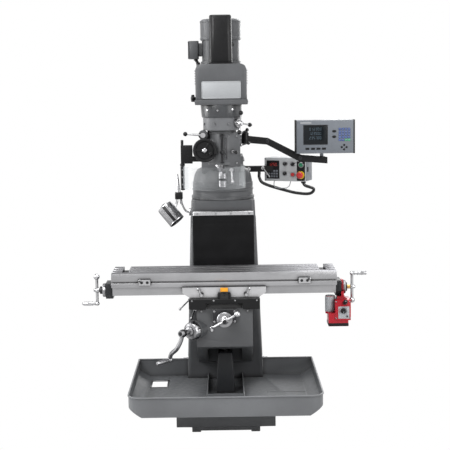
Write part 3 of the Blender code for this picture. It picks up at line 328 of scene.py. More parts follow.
def add_hex(bm, matrix, r, h):
    """A hexagon screw head on its washer, chamfered on top, with a shallow dish."""
    add_turned(bm, [(0, h * 0.22), (r * 1.28, h * 0.22), (r * 1.32, 0), (0, 0)], matrix, 28)
    add_turned(bm, [(0, h * 0.93), (r * 0.72, h), (r * 0.86, h), (r, h * 0.9), (r, h * 0.2), (0, h * 0.2)],
               matrix, 6)


def at(x, y, z):
    """A frame moved to this place, or along another frame's axes."""
    return Matrix.Translation((x, y, z))


def piece(name, bm, mat, body, bend=32):
    """The finished mesh, shaded by angle, riding on its body."""
    bmesh.ops.recalc_face_normals(bm, faces=bm.faces)
    mesh = bpy.data.meshes.new(name)
    bm.to_mesh(mesh)
    bm.free()
    mesh.shade_smooth()
    mesh.set_sharp_from_angle(angle=math.radians(bend))
    mesh.materials.append(mat)
    obj = bpy.data.objects.new(name, mesh)
    bpy.context.scene.collection.objects.link(obj)
    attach(obj, body)
    return obj


CAST = surface("cast_enamel", (0.082, 0.084, 0.088), 0.42, grain=(330, 0.00035), corner_shade=0.75, worn=0.35,
               coat=0.05, Specular_IOR_Level=0.3)
# Painted reflection: this dark edge tint darkens bare metal's reflection at grazing angles, standing in for
# dark surroundings mirrored there.
DARK_EDGE_REFLECTION = (0.30, 0.30, 0.31, 1)
STEEL = surface("machined_steel", (0.38, 0.38, 0.39), 0.30, 1.0, (160, 0.00003), (22, 0.07), (1, 1, 14),
                corner_shade=0.55, Specular_Tint=DARK_EDGE_REFLECTION)
dress(CAST, "base_casting", edge=0.004)
bolts = bmesh.new()
for x in (-0.24525, 0.24525):
    for y in (0.13, 0.465):
        add_hex(bolts, at(x, y, 0.150), 0.014, 0.013)
piece("levelling_screws", bolts, STEEL, "frame")

# ---- Chip tray: folded and welded sheet steel, 4 mm, with a rolled rim, sloping side aprons and a
# ---- drain with a strainer; sprayed mid grey.
TRAY = surface("tray_enamel", (0.125, 0.129, 0.135), 0.40, grain=(260, 0.00018), tone=(4, 0.12), corner_shade=0.6,
               worn=0.6, coat=0.05)
dress(TRAY, "chip_tray", edge=0.001)
low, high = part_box("chip_tray")
RIM_R = 0.0055
RIM_CORNER = 0.069
rim_x = high.x - 0.001
rim_back = high.y - 0.001
rim_front = low.y + 0.001
rim_z = high.z - 0.002


def add_tube(bm, points, r, sides=14):
    """A round bar along points."""
    points = [Vector(p) for p in points]
    rings = []
    side = None
    for i, p in enumerate(points):
        along = (points[min(i + 1, len(points) - 1)] - points[max(i - 1, 0)]).normalized()
        if side is None:
            side = along.orthogonal().normalized()
        side = (side - side.dot(along) * along).normalized()
        up = along.cross(side)
        ring = []
        for k in range(sides):
            a = 2 * math.pi * k / sides
            ring.append(bm.verts.new(p + r * (side * math.cos(a) + up * math.sin(a))))
        rings.append(ring)
    for a, b in zip(rings, rings[1:]):
        for k in range(sides):
            bm.faces.new((a[k], a[(k + 1) % sides], b[(k + 1) % sides], b[k]))
    bm.faces.new(rings[0])
    bm.faces.new(rings[-1])


def add_box(bm, lows, highs, matrix=None, edge=0.0):
    """A block between two corners, its edges rounded by edge."""
    centre = [(a + b) / 2 for a, b in zip(lows, highs)]
    sizes = [b - a for a, b in zip(lows, highs)]
    place = (matrix or Matrix()) @ Matrix.Translation(centre) @ Matrix.Diagonal((*sizes, 1))
    made = bmesh.ops.create_cube(bm, size=1.0, matrix=place)["verts"]
    if edge:
        edges = list(dict.fromkeys(e for v in made for e in v.link_edges))
        bmesh.ops.bevel(bm, geom=edges, offset=edge, segments=2, profile=0.5, affect="EDGES")


rim = bmesh.new()
rim_line = [(-rim_x, rim_back, rim_z)]
for side, start in ((-1, 180), (1, 270)):
    for i in range(9):
        a = math.radians(start + 90 * i / 8)
        rim_line.append((side * (rim_x - RIM_CORNER) + RIM_CORNER * math.cos(a),
                         rim_front + RIM_CORNER + RIM_CORNER * math.sin(a), rim_z))
rim_line.append((rim_x, rim_back, rim_z))
add_tube(rim, rim_line, RIM_R, 12)
for side in (1, -1):
    add_tube(rim, [(side * rim_x, rim_back, rim_z), (side * 0.235, rim_back, rim_z)], RIM_R, 12)
piece("tray_rolled_rim", rim, TRAY, "frame")
welds = bmesh.new()
bead = [(0.24 + 0.028 * i, -0.33 + 0.0015 * (i % 2), low.z + 0.0045) for i in range(11)]
add_tube(welds, bead, 0.0022, 8)
for side in (-1, 1):
    bead = [(side * (0.1065 + 0.0008 * (i % 2)), -0.46 + 0.04 * i, low.z + 0.006) for i in range(12)]
    add_tube(welds, bead, 0.0032, 8)
piece("tray_welds", welds, TRAY, "frame")
drain = bmesh.new()
for x0, x1, y0, y1 in (
    (-0.447, -0.3495, -0.208, -0.2005),
    (-0.447, -0.3495, -0.0595, -0.052),
    (-0.447, -0.4395, -0.208, -0.052),
    (-0.3485, -0.341, -0.208, -0.052),
):
    add_box(drain, (x0, y0, 0.1547), (x1, y1, 0.1575), edge=0.0008)
piece("drain_frame", drain, STEEL, "frame")

# ---- Column: a tall tapered iron casting, enamelled grey. The black pedestal for the knee's screw stands
# ---- before it, a ground strip clamps the way cover, and screwed plates close the back and the sides.
COLUMN = surface("column_enamel", (0.078, 0.080, 0.084), 0.38, grain=(300, 0.0003), corner_shade=0.7, worn=0.75,
                 coat=0.05, Specular_IOR_Level=0.3)
DARK = surface("dark_enamel", (0.020, 0.021, 0.023), 0.42, grain=(340, 0.0003), corner_shade=0.5, worn=0.4,
               Specular_IOR_Level=0.22)
BRIGHT = surface("ground_way", (0.52, 0.52, 0.53), 0.28, 1.0, (130, 0.00002), (12, 0.10), (14, 14, 0.6),
                 corner_shade=0.6, Specular_Tint=DARK_EDGE_REFLECTION)
FRONT = (0, -1, 0)
BACK = (0, 1, 0)
LEFT = (-1, 0, 0)
RIGHT = (1, 0, 0)


def facing(origin, direction, up=(0, 0, 1)):
    """A frame at origin whose +Z is direction and whose +X is as near as it can be to up."""
    z = Vector(direction).normalized()
    x = Vector(up) - Vector(up).dot(z) * z
    if x.length < 1e-6:
        x = Vector(RIGHT) - z.x * z
    x.normalize()
    turn = Matrix((x, z.cross(x), z)).transposed().to_4x4()
    return Matrix.Translation(origin) @ turn


def add_cap(bm, matrix, r, h):
    """A socket cap screw: a knurl-edged head with a hexagon socket."""
    add_turned(bm, [(0, h * 0.4), (r * 0.42, h * 0.4), (r * 0.5, h), (r * 0.88, h), (r, h * 0.86), (r, 0),
                    (0, 0)], matrix, 24)


dress(COLUMN, "column", edge=0.003)
dress(DARK, "screw_pedestal", edge=0.002)
dress(BRIGHT, "cover_clamp_strip", edge=0.0)
detail = bmesh.new()
for x in (-0.155, -0.045, 0.045, 0.155):
    add_cap(detail, facing((x, -0.0468, 1.1675), FRONT), 0.0055, 0.004)
piece("clamp_strip_screws", detail, STEEL, "frame")
back = facing((0, 0.4445, 0.62), (0, 1, 0.0734))
detail = bmesh.new()
add_box(detail, (-0.27, -0.13, 0), (0.27, 0.13, 0.004), back, 0.0012)
add_box(detail, (-0.255, -0.115, 0.0035), (0.255, 0.115, 0.0055), back, 0.0012)
piece("column_back_cover", detail, COLUMN, "frame")
detail = bmesh.new()
for x in (-0.262, 0, 0.262):
    for y in (-0.1225, 0.1225):
        add_cap(detail, back @ at(x, y, 0.004), 0.005, 0.004)
piece("column_back_screws", detail, STEEL, "frame")
taper = math.atan(0.04 / 1.09)
for side, word in ((-1, "left"), (1, "right")):
    detail = bmesh.new()
    cheek = at(side * 0.2105, 0.20, 0.70) @ Matrix.Rotation(-side * taper, 4, "Y")
    add_box(detail, (-0.0016, -0.17, -0.42), (0.0016, 0.16, 0.44), cheek, 0.0012)
    piece(f"column_side_panel_{word}", detail, COLUMN, "frame")

# ---- Way cover: one sheet of black rubber, clamped under the strip at its top and hooked to the knee at
# ---- its foot; it is drawn as one fixed sheet on the frame, with shallow waves.
RUBBER = surface("way_rubber", (0.0065, 0.0065, 0.007), 0.46, grain=(500, 0.00008), tone=(9, 0.30),
                 Specular_IOR_Level=0.12)
low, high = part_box("column_way_cover")
sheet_mesh = bmesh.new()
cols, rows = 48, 96
grid = []
for j in range(rows + 1):
    v = j / rows
    z = high.z - 0.0005 - (high.z - low.z - 0.001) * v
    fold = 0.0009 * math.sin(v * 31 + 0.8) * (0.25 + v) + 0.0011 * math.exp(-((v - 0.10) / 0.012) ** 2)
    row = []
    for i in range(cols + 1):
        u = i / cols
        x = low.x + (high.x - low.x) * u
        sag = 0.0007 * math.sin(u * 9.0 + v * 5.0) + 0.0005 * math.sin(u * 23 - v * 3)
        y = min(high.y - 0.0022, max(low.y + 0.0002, (low.y + high.y) / 2 + fold + sag))
        row.append(sheet_mesh.verts.new((x, y, z)))
    grid.append(row)
for j in range(rows):
    for i in range(cols):
        sheet_mesh.faces.new((grid[j][i], grid[j][i + 1], grid[j + 1][i + 1], grid[j + 1][i]))
cover = piece("column_rubber_cover", sheet_mesh, RUBBER, "frame", bend=80)
thick = cover.modifiers.new("thick", "SOLIDIFY")
thick.thickness = 0.0018
thick.offset = 0
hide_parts("column_way_cover")
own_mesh(cover)

# ---- Knee: the box casting that carries saddle and table, gibbed to the column and lifted by a screw.
# ---- It is black above the enamel's edge, and a plate with four screws carries the cross feed bearing.
KNEE = surface("knee_enamel", (0.082, 0.084, 0.088), 0.40, grain=(300, 0.0003), corner_shade=0.7, worn=0.5,
               coat=0.05, above=(0.6735, (0.015, 0.015, 0.016), 0.40, 0.0))
# Chrome's dark edge tint is a painted reflection: it darkens the reflection at grazing angles for dark
# surroundings.
CHROME = surface("chrome_plate", (0.50, 0.50, 0.51), 0.14, 1.0, (60, 0.00001), (30, 0.05), corner_shade=0.5,
                 Specular_Tint=(0.16, 0.16, 0.17, 1))
BLACK_STEEL = surface("blackened_steel", (0.022, 0.022, 0.024), 0.34, 0.6, (240, 0.00006), (14, 0.2),
                      corner_shade=0.3, worn=0.5)
dress(KNEE, "knee", edge=0.003)
dress(CHROME, "knee_lock_lever", edge=0)
dress(STEEL, "knee_elevating_screw", edge=0)
detail = bmesh.new()
plate = facing((0, -0.4581, 0.632), FRONT, RIGHT)
add_box(detail, (-0.068, -0.0385, 0), (0.068, 0.0385, 0.0006), plate, 0.0002)
piece("cross_feed_plate_face", detail, BLACK_STEEL, "knee_body")
detail = bmesh.new()
for x in (-0.057, 0.057):
    for y in (-0.029, 0.029):
        add_cap(detail, plate @ at(x, y, 0.0006), 0.006, 0.004)
for z in (0.58, 0.63):
    for y in (-0.10, -0.06):
        for side in (-1, 1):
            add_hex(detail, facing((side * 0.1588, y, z - 0.2), (side, 0, 0)), 0.007, 0.006)
for x in (-0.13, 0.13):
    add_cap(detail, facing((x, -0.4405, 0.66), FRONT), 0.0048, 0.004)
piece("knee_screws", detail, STEEL, "knee_body")
detail = bmesh.new()
lift_out = Vector((-math.sin(math.radians(40)), -math.cos(math.radians(40)), 0))
lift_root = Vector((0, -0.25, 0.555))
boss = facing(lift_root + lift_out * 0.2682, lift_out)
add_turned(detail, [(0.049, 0.0002), (0.055, 0.0002), (0.055, -0.012), (0.0505, -0.012)], boss, 64)
piece("crank_boss_rim", detail, KNEE, "knee_body")

# ---- Knee crank: a forged S handle pinned to its shaft, in satin steel, with a graduated chrome collar and
# ---- a blackened ring and end screw on its hub.


def spun(degrees):
    """A frame turned about its own Z."""
    return Matrix.Rotation(math.radians(degrees), 4, "Z")


SATIN = surface("satin_steel", (0.36, 0.36, 0.37), 0.30, 1.0, (120, 0.00004), (16, 0.12), corner_shade=0.6,
                Specular_Tint=DARK_EDGE_REFLECTION)
dress(SATIN, "knee_crank", edge=0)


def add_ticks(bm, matrix, r, z, n, long, high, wide=0.0007):
    """Graduations round a dial: n fine bars on its rim, every fifth one longer."""
    for i in range(n):
        reach = long if i % 5 == 0 else long * 0.6
        add_box(bm, (r - 0.0003, -wide / 2, z), (r + high, wide / 2, z + reach),
                matrix @ spun(360 * i / n))


INK = surface("black_ink", (0.008, 0.008, 0.009), 0.5)
LIFT_DIAL_R = 0.0515
shaft = facing(lift_root, lift_out)
detail = bmesh.new()
add_turned(detail, [(0.0465, 0.3015), (0.0475, 0.300), (LIFT_DIAL_R, 0.2855), (LIFT_DIAL_R, 0.2705),
                    (0.0503, 0.270), (0.0503, 0.2845), (0.0463, 0.2995)], shaft, 72)
add_turned(detail, [(0.0262, 0.315), (0.0275, 0.3135), (0.0275, 0.3045), (0.0262, 0.304)], shaft, 48)
piece("lift_dial", detail, CHROME, "lift_crank")
detail = bmesh.new()
add_ticks(detail, shaft, LIFT_DIAL_R, 0.2715, 80, 0.008, 0.0002)
piece("lift_dial_marks", detail, INK, "lift_crank")
detail = bmesh.new()
add_turned(detail, [(0.0215, 0.370), (0.0222, 0.368), (0.0222, 0.357), (0.0215, 0.355), (0.0208, 0.356),
                    (0.0208, 0.369)], shaft, 40)
add_hex(detail, shaft @ at(0, 0, 0.3848), 0.009, 0.006)
piece("lift_hub_ring", detail, BLACK_STEEL, "lift_crank")

# ---- Cross feed crank: balanced ball handle on the screw's end, in chrome, its micrometer dial satin and
# ---- its lock ring knurled.
dress(CHROME, "cross_feed_crank", edge=0)
CROSS_DIAL_R = 0.0437
cross = facing((0, -0.4583, 0.632), FRONT, (-0.88, 0, -0.47))
detail = bmesh.new()
add_turned(detail, [(0.0245, 0.1002), (0.0405, 0.0985), (CROSS_DIAL_R, 0.0942), (CROSS_DIAL_R, 0.0742),
                    (0.0425, 0.0738), (0.0425, 0.0938), (0.0395, 0.0975), (0.0245, 0.0992)], cross, 72)
piece("cross_dial", detail, SATIN, "cross_crank")
detail = bmesh.new()
add_ticks(detail, cross, CROSS_DIAL_R, 0.0748, 100, 0.008, 0.0002, 0.0006)
piece("cross_dial_marks", detail, INK, "cross_crank")
detail = bmesh.new()
for i in range(36):
    add_box(detail, (0.0285, -0.0012, 0.004), (0.0312, 0.0012, 0.060), cross @ spun(10 * i), 0.0004)
add_hex(detail, cross @ at(0, 0, 0.1358), 0.0085, 0.006)
piece("cross_lock_ring", detail, BLACK_STEEL, "cross_crank")

# ---- Saddle: the casting between knee and table, its foot enamelled and its upper part ground. A black
# ---- plastic cover hangs on its front under the limit switch; clamp levers lock table and saddle.
SADDLE = surface("saddle_finish", (0.098, 0.101, 0.105), 0.40, grain=(300, 0.0003), corner_shade=0.75, worn=0.5,
                 above=(0.7385, (0.58, 0.58, 0.59), 0.30, 1.0))
PLASTIC = surface("black_plastic", (0.0075, 0.0075, 0.008), 0.36, grain=(700, 0.00006), tone=(12, 0.15),
                  Specular_IOR_Level=0.22)
ORANGE = surface("orange_plastic", (0.80, 0.33, 0.010), 0.36, grain=(600, 0.00005), corner_shade=0.4)
SWITCH = surface("switch_body", (0.0075, 0.0075, 0.008), 0.36, grain=(600, 0.00005), corner_shade=0.4,
                 above=(0.7775, (0.80, 0.33, 0.010), 0.36, 0.0))
dress(SADDLE, "saddle", edge=0.002)
dress(PLASTIC, "saddle_front_cover", edge=0)
dress(SWITCH, "limit_switch", edge=0.0015)
dress(CHROME, "saddle_lock_lever", "table_lock_left", "table_lock_right", edge=0)
low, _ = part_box("saddle_front_cover")
detail = bmesh.new()
for x in (-0.182, -0.06, 0.06, 0.182):
    add_cap(detail, facing((x, low.y, 0.727), FRONT), 0.0045, 0.003)
for side in (-1, 1):
    for y in (-0.43, -0.20):
        add_cap(detail, facing((side * 0.2351, y, 0.785), (side, 0, 0)), 0.006, 0.004)
piece("saddle_screws", detail, STEEL, "saddle_body")
detail = bmesh.new()
low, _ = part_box("limit_switch")
add_box(detail, (-0.0165, low.y - 0.0035, 0.7795), (0.0165, low.y + 0.0002, 0.7945), edge=0.0012)
piece("limit_switch_lid", detail, ORANGE, "saddle_body")
detail = bmesh.new()
for x in (-0.037, 0.0215):
    add_box(detail, (x, low.y + 0.0030, 0.737), (x + 0.0155, low.y + 0.0222, 0.7635), edge=0.001)
add_box(detail, (-0.009, low.y - 0.0015, 0.765), (0.009, low.y + 0.0002, 0.773), edge=0.0004)
add_cap(detail, facing((0, low.y, 0.7555), FRONT), 0.003, 0.001)
piece("limit_switch_bracket", detail, PLASTIC, "saddle_body")
detail = bmesh.new()
for x in (-0.128, 0.124):
    add_turned(detail, [(0.009, 0.0162), (0.0098, 0.015), (0.0098, 0.002), (0.009, 0.0008)],
               facing((x, -0.4573, 0.757), FRONT), 32)
piece("lock_bushes", detail, BLACK_STEEL, "saddle_body")

# ---- Table: a long iron casting, planed and ground, with three tee slots, coolant pockets at both ends and
# ---- a front groove that holds the two travel stops; its end brackets are dark castings.
TABLE = surface("ground_table", (0.40, 0.40, 0.41), 0.34, 1.0, (60, 0.00001), (5, 0.10), (0.5, 18, 18),
                corner_shade=0.95, Specular_Tint=DARK_EDGE_REFLECTION)
dress(TABLE, "table", edge=0.0012)
dress(DARK, "x_bracket_left", "x_bracket_right", edge=0.0015)
STOPS = (-0.447, 0.452)
STOP_FRONT = -0.4525
detail = bmesh.new()
for x in STOPS:
    add_box(detail, (x - 0.034, STOP_FRONT, 0.8135), (x + 0.034, -0.4403, 0.8475), edge=0.0025)
piece("table_stops", detail, CHROME, "table_body")
detail = bmesh.new()
for x in STOPS:
    for step in (-0.016, 0.016):
        add_hex(detail, facing((x + step, STOP_FRONT, 0.8305), FRONT), 0.0062, 0.006)
for side, bracket_face in ((-1, 0.6766), (1, 0.6665)):
    for y, lower_y in ((-0.363, -0.351), (-0.263, -0.275)):
        add_cap(detail, facing((side * bracket_face, y, 0.797), (side, 0, 0)), 0.0065, 0.005)
        add_cap(detail, facing((side * bracket_face, lower_y, 0.757), (side, 0, 0)), 0.0055, 0.004)
piece("table_screws", detail, BLACK_STEEL, "table_body")
detail = bmesh.new()
for x in (-0.5615, 0.5615):
    for i in range(6):
        y = -0.372 + i * 0.034
        add_box(detail, (x - 0.0145, y, 0.8581), (x + 0.0145, y + 0.003, 0.8592), edge=0.0003)
    add_box(detail, (x - 0.0180, -0.383, 0.8580), (x + 0.0180, -0.1875, 0.8583))
piece("pocket_strainers", detail, INK, "table_body")

# ---- Long feed screw and its two ball cranks: chrome handles on graduated satin dials, with a black lock
# ---- ring on each side, knurled on the left, and a brass thrust collar on the right.
BRASS = surface("brass", (0.72, 0.46, 0.17), 0.22, 1.0, (90, 0.00002), (20, 0.08), corner_shade=0.4)
dress(STEEL, "long_feed_screw", edge=0)
dress(CHROME, "x_crank_left", "x_crank_right", edge=0)
LONG_DIAL_R = 0.0388
SCREW_Y = -0.313
SCREW_Z = 0.766
left = facing((-0.6766, SCREW_Y, SCREW_Z), LEFT, (0, 0, -1))
right = facing((0.6819, SCREW_Y, SCREW_Z), RIGHT)
detail = bmesh.new()
add_turned(detail, [(0.0205, 0.0194), (0.0365, 0.0194), (LONG_DIAL_R, 0.0152), (LONG_DIAL_R, 0.0004),
                    (0.0375, 0.0004), (0.0375, 0.0148), (0.036, 0.0186), (0.0205, 0.0186)], left, 72)
add_turned(detail, [(0.0175, 0.0135), (0.0365, 0.0135), (LONG_DIAL_R, 0.0102), (LONG_DIAL_R, 0.0004),
                    (0.0375, 0.0004), (0.0375, 0.0098), (0.036, 0.0127), (0.0175, 0.0127)], right, 72)
piece("long_dials", detail, SATIN, "long_screw")
detail = bmesh.new()
add_ticks(detail, left, LONG_DIAL_R, 0.001, 100, 0.008, 0.0002, 0.0006)
add_ticks(detail, right, LONG_DIAL_R, 0.001, 100, 0.0065, 0.0002, 0.0006)
piece("long_dial_marks", detail, INK, "long_screw")
detail = bmesh.new()
add_turned(detail, [(0.0205, 0.0365), (0.0212, 0.035), (0.0212, 0.021), (0.0205, 0.020)], left, 48)
for i in range(32):
    add_box(detail, (0.0205, -0.0009, 0.022), (0.0219, 0.0009, 0.034), left @ spun(11.25 * i), 0.0003)
add_turned(detail, [(0.0176, 0.0225), (0.0262, 0.0218), (0.0262, 0.0145), (0.0176, 0.0138)], right, 48)
piece("long_lock_rings", detail, BLACK_STEEL, "long_screw")
detail = bmesh.new()
add_turned(detail, [(0.0092, 0.0405), (0.0118, 0.0398), (0.0118, 0.0232), (0.0092, 0.0226)], right, 48)
piece("thrust_collar", detail, BRASS, "long_screw")
detail = bmesh.new()
for spot, hub_end in ((left, 0.0678), (right, 0.0658)):
    add_hex(detail, spot @ at(0, 0, hub_end), 0.0075, 0.005)
    for z in (0.065, 0.083, 0.108, 0.131):
        add_turned(detail, [(0.0118, 0.0008), (0.0123, 0), (0.0118, -0.0008), (0.0108, 0)],
                   spot @ at(0.078, 0, z), 32)
piece("crank_grip_rings", detail, CHROME, "long_screw")

# ---- Power feed: a red die-cast gear case hung under the right bracket, with a silvery motor can, a black
# ---- foot, a grey face with the speed dial and a lever that starts it left or right.
RED = surface("red_enamel", (0.37, 0.008, 0.018), 0.34, grain=(420, 0.00018), corner_shade=0.6, worn=0.35,
              coat=0.15, Specular_IOR_Level=0.25)
BLACK = surface("black_enamel", (0.0075, 0.0075, 0.008), 0.33, grain=(380, 0.00012), tone=(10, 0.2),
                worn=0.35, Specular_IOR_Level=0.22)
PALE = surface("pale_enamel", (0.36, 0.37, 0.385), 0.38, grain=(420, 0.00012), corner_shade=0.5, coat=0.15)
dress(RED, "power_feed_housing", edge=0.003)
dress(BLACK, "power_feed_lever", edge=0)
dress(PLASTIC, "power_feed_knob", edge=0.001)
detail = bmesh.new()
add_box(detail, (0.5905, -0.4015, 0.5525), (0.7055, -0.2935, 0.5725), edge=0.004)
piece("feed_foot_cap", detail, PLASTIC, "table_body")
detail = bmesh.new()
add_turned(detail, [(0, 0.7235), (0.024, 0.7235), (0.0288, 0.719), (0.0288, 0.634), (0.0278, 0.632),
                    (0, 0.632)], at(0.605, -0.345, 0), 48)
piece("feed_motor_can", detail, PALE, "table_body")
face = facing((0.6745, -0.4053, 0.647), FRONT, RIGHT)
dial = face @ at(0, -0.003, 0)
detail = bmesh.new()
add_box(detail, (-0.0285, -0.0485, 0), (0.0345, 0.0215, 0.0007), face, 0.0003)
piece("feed_face_plate", detail, PALE, "table_body")
detail = bmesh.new()
for i in range(25):
    add_box(detail, (0.0175, -0.0006, 0.0006), (0.0215 if i % 4 else 0.0232, 0.0006, 0.0009),
            dial @ spun(-40 + 260 * i / 24))
add_turned(detail, [(0, 0.006), (0.004, 0.006), (0.0048, 0.005), (0.0048, 0), (0, 0)],
           face @ at(0.022, -0.036, 0), 24)
piece("feed_face_marks", detail, INK, "table_body")
detail = bmesh.new()
for i in range(14):
    add_box(detail, (0.0240, -0.0012, 0.0006), (0.0262, 0.0012, 0.00085), dial @ spun(150 + 5 * i))
piece("feed_face_arc", detail, RED, "table_body")
detail = bmesh.new()
for x, z in ((0.634, 0.697), (0.712, 0.697), (0.634, 0.600), (0.712, 0.600)):
    add_cap(detail, facing((x, -0.4052, z), FRONT), 0.0035, 0.0025)
for y, z in ((-0.35, 0.78), (-0.276, 0.78), (-0.313, 0.728)):
    add_cap(detail, facing((0.6817, y, z), RIGHT), 0.004, 0.0025)
piece("feed_screws", detail, STEEL, "table_body")
detail = bmesh.new()
add_box(detail, (-0.0008, -0.0115, 0.0179), (0.0008, 0.0, 0.0184), dial)
piece("feed_knob_pointer", detail, PALE, "feed_knob")
detail = bmesh.new()
add_turned(detail, [(0, 0.0030), (0.0024, 0.0028), (0.0024, -0.002), (0, -0.002)],
           facing((0.682, -0.452, 0.7055), (0, -1, 0.35)) @ at(0, 0, 0.0118), 20)
piece("feed_lever_stud", detail, CHROME, "feed_lever")

# ---- Turret: a domed iron casting that swivels on the column top, clamped by four nuts, with a degree
# ---- scale round its foot; the seat for the ram is cast on it and has its own clamp nuts.
TURRET = surface("turret_enamel", (0.088, 0.090, 0.094), 0.44, grain=(300, 0.0003), corner_shade=0.7, worn=0.6,
                 coat=0.05, Specular_IOR_Level=0.25)
dress(TURRET, "turret", edge=0.0015)
TURRET_Y = 0.19
SCALE_R = 0.1915
post = at(0, TURRET_Y, 0)
detail = bmesh.new()
add_turned(detail, [(0.1880, 1.2565), (SCALE_R, 1.2550), (SCALE_R, 1.2425), (0.1896, 1.2420)], post, 160)
add_turned(detail, [(0.1808, 1.3385), (0.1838, 1.3365), (0.1846, 1.3120), (0.1822, 1.3060)], post, 160)
piece("turret_rings", detail, TURRET, "turret_body", bend=25)
detail = bmesh.new()
add_ticks(detail, post, SCALE_R, 1.2440, 180, 0.009, 0.0002, 0.0008)
piece("turret_degrees", detail, PALE, "turret_body")
detail = bmesh.new()
for bearing in (35, 145, 215, 325):
    add_hex(detail, post @ spun(bearing) @ at(0.142, 0, 1.421) @ Matrix.Rotation(0.42, 4, "Y"), 0.0125,
            0.014)
for side in (-1, 1):
    for y in (0.11, 0.27):
        add_hex(detail, facing((side * 0.1251, y, 1.475), (side, 0, 0)), 0.009, 0.008)
piece("turret_nuts", detail, STEEL, "turret_body")

# ---- Ram: a long iron bar casting that slides in the turret; a gib plate and its lock bolts show on the
# ---- side, a bolted cap closes the rear and a square stub turns its rack pinion.
dress(CAST, "ram", edge=0.0)
detail = bmesh.new()
for side in (-1, 1):
    add_box(detail, (side * 0.0852 - 0.0018, -0.03, 1.512), (side * 0.0852 + 0.0018, 0.585, 1.528),
            edge=0.001)
piece("ram_gibs", detail, BRIGHT, "ram_body")
cap = facing((0, 0.6002, 1.585), BACK, RIGHT)
detail = bmesh.new()
add_box(detail, (-0.068, -0.068, 0), (0.068, 0.068, 0.005), cap, 0.0018)
add_turned(detail, [(0, 0.012), (0.036, 0.012), (0.040, 0.009), (0.040, 0.004), (0, 0.004)], cap, 64)
piece("ram_rear_cap", detail, CAST, "ram_body")
detail = bmesh.new()
for x in (-0.056, 0.056):
    for y in (-0.056, 0.056):
        add_cap(detail, cap @ at(x, y, 0.005), 0.0065, 0.0045)
piece("ram_screws", detail, STEEL, "ram_body")
detail = bmesh.new()
pinion = facing((-0.0852, TURRET_Y, 1.585), LEFT)
add_turned(detail, [(0, 0.012), (0.024, 0.011), (0.028, 0.006), (0.028, 0), (0, 0)], pinion, 48)
add_box(detail, (-0.008, -0.008, 0.01), (0.008, 0.008, 0.034), pinion, 0.0012)
piece("ram_pinion_stub", detail, STEEL, "ram_body")

# ---- Knuckle: the casting between ram and head, that nods on a cross pin and carries the tilt face with its
# ---- degree scale and clamp nuts.
dress(CAST, "ram_adapter", edge=0.002)
detail = bmesh.new()
for side in (-1, 1):
    pin = facing((side * 0.0922, -0.109, 1.585), (side, 0, 0))
    add_turned(detail, [(0, 0.004), (0.040, 0.004), (0.043, 0.002), (0.043, 0), (0, 0)], pin, 56)
    add_hex(detail, pin @ at(0, 0, 0.004), 0.018, 0.012)
piece("nod_pin_caps", detail, STEEL, "adapter_body")
tilt = facing((0, -0.118, 1.585), FRONT)
detail = bmesh.new()
add_ticks(detail, tilt, 0.0823, 0.034, 90, 0.010, 0.0003, 0.0008)
piece("tilt_degrees", detail, PALE, "adapter_body")

# ---- Head casting: the quill housing, with the depth stop's slot down its front, the feed box at its right
# ---- and the handwheel and lever bosses at its left; enamelled. The depth stop and its scale are painted
# black, standing in for the shade in the slot.
HEAD = surface("head_enamel", (0.088, 0.090, 0.094), 0.40, grain=(320, 0.00028), corner_shade=0.8, worn=0.7,
               coat=0.05, Specular_IOR_Level=0.25)
dress(HEAD, "head_casting", edge=0.002)
QUILL_Y = -0.31
axis = at(0, QUILL_Y, 0)
detail = bmesh.new()
add_turned(detail, [(0.0432, 1.4812), (0.079, 1.4812), (0.0795, 1.4870), (0.079, 1.4930), (0.0775, 1.4935),
                    (0.0775, 1.4815), (0.0432, 1.4808)], axis, 96)
add_turned(detail, [(0.0782, 1.6735), (0.0815, 1.6725), (0.0815, 1.6560), (0.0782, 1.6548)], axis, 96)
piece("head_rings", detail, HEAD, "head_body")
detail = bmesh.new()
# The depth stop is given blackened steel as painted shade for the dark slot it stands in.
stop_rod = at(0, -0.3905, 0)
add_turned(detail, [(0, 1.640), (0.0045, 1.639), (0.0045, 1.500), (0, 1.499)], stop_rod, 20)
for i in range(22):
    z = 1.506 + 0.0055 * i
    add_turned(detail, [(0.0045, z + 0.0014), (0.0051, z + 0.0007), (0.0045, z)], stop_rod, 16)
for z0, z1 in ((1.640, 1.652), (1.492, 1.500)):
    add_box(detail, (-0.010, -0.396, z0), (0.010, -0.386, z1), edge=0.0015)
add_turned(detail, [(0.0048, 1.557), (0.0105, 1.557), (0.0115, 1.5555), (0.0115, 1.5465), (0.0105, 1.545),
                    (0.0048, 1.545)], stop_rod, 40)
piece("depth_stop", detail, BLACK_STEEL, "head_body")
detail = bmesh.new()
# The depth scale is dark too, as painted shade in the slot; its pale marks are print.
scale = facing((0.0215, -0.3868, 1.572), (0.27, -0.96, 0), RIGHT)
add_box(detail, (-0.0065, -0.060, 0), (0.0065, 0.060, 0.0008), scale, 0.0003)
piece("depth_scale", detail, BLACK_STEEL, "head_body")
detail = bmesh.new()
for i in range(41):
    long = 0.009 if i % 5 == 0 else 0.005
    y = -0.056 + 0.0028 * i
    add_box(detail, (-0.006, y, 0.0008), (-0.006 + long, y + 0.0004, 0.00095), scale)
piece("depth_scale_marks", detail, PALE, "head_body")
detail = bmesh.new()
for x, z in ((0.036, 1.640), (0.082, 1.640), (0.082, 1.490)):
    add_cap(detail, facing((x, -0.3751, z), FRONT), 0.005, 0.004)
for bearing in (40, 140, 220, 320):
    spot = tilt @ spun(bearing) @ Vector((0.066, 0, 0))
    add_hex(detail, facing((spot.x, -0.2602, spot.z), FRONT), 0.0095, 0.010)
for z in (1.530, 1.625):
    add_hex(detail, facing((0.1022, -0.33, z), RIGHT), 0.0075, 0.007)
piece("head_screws", detail, STEEL, "head_body")
detail = bmesh.new()
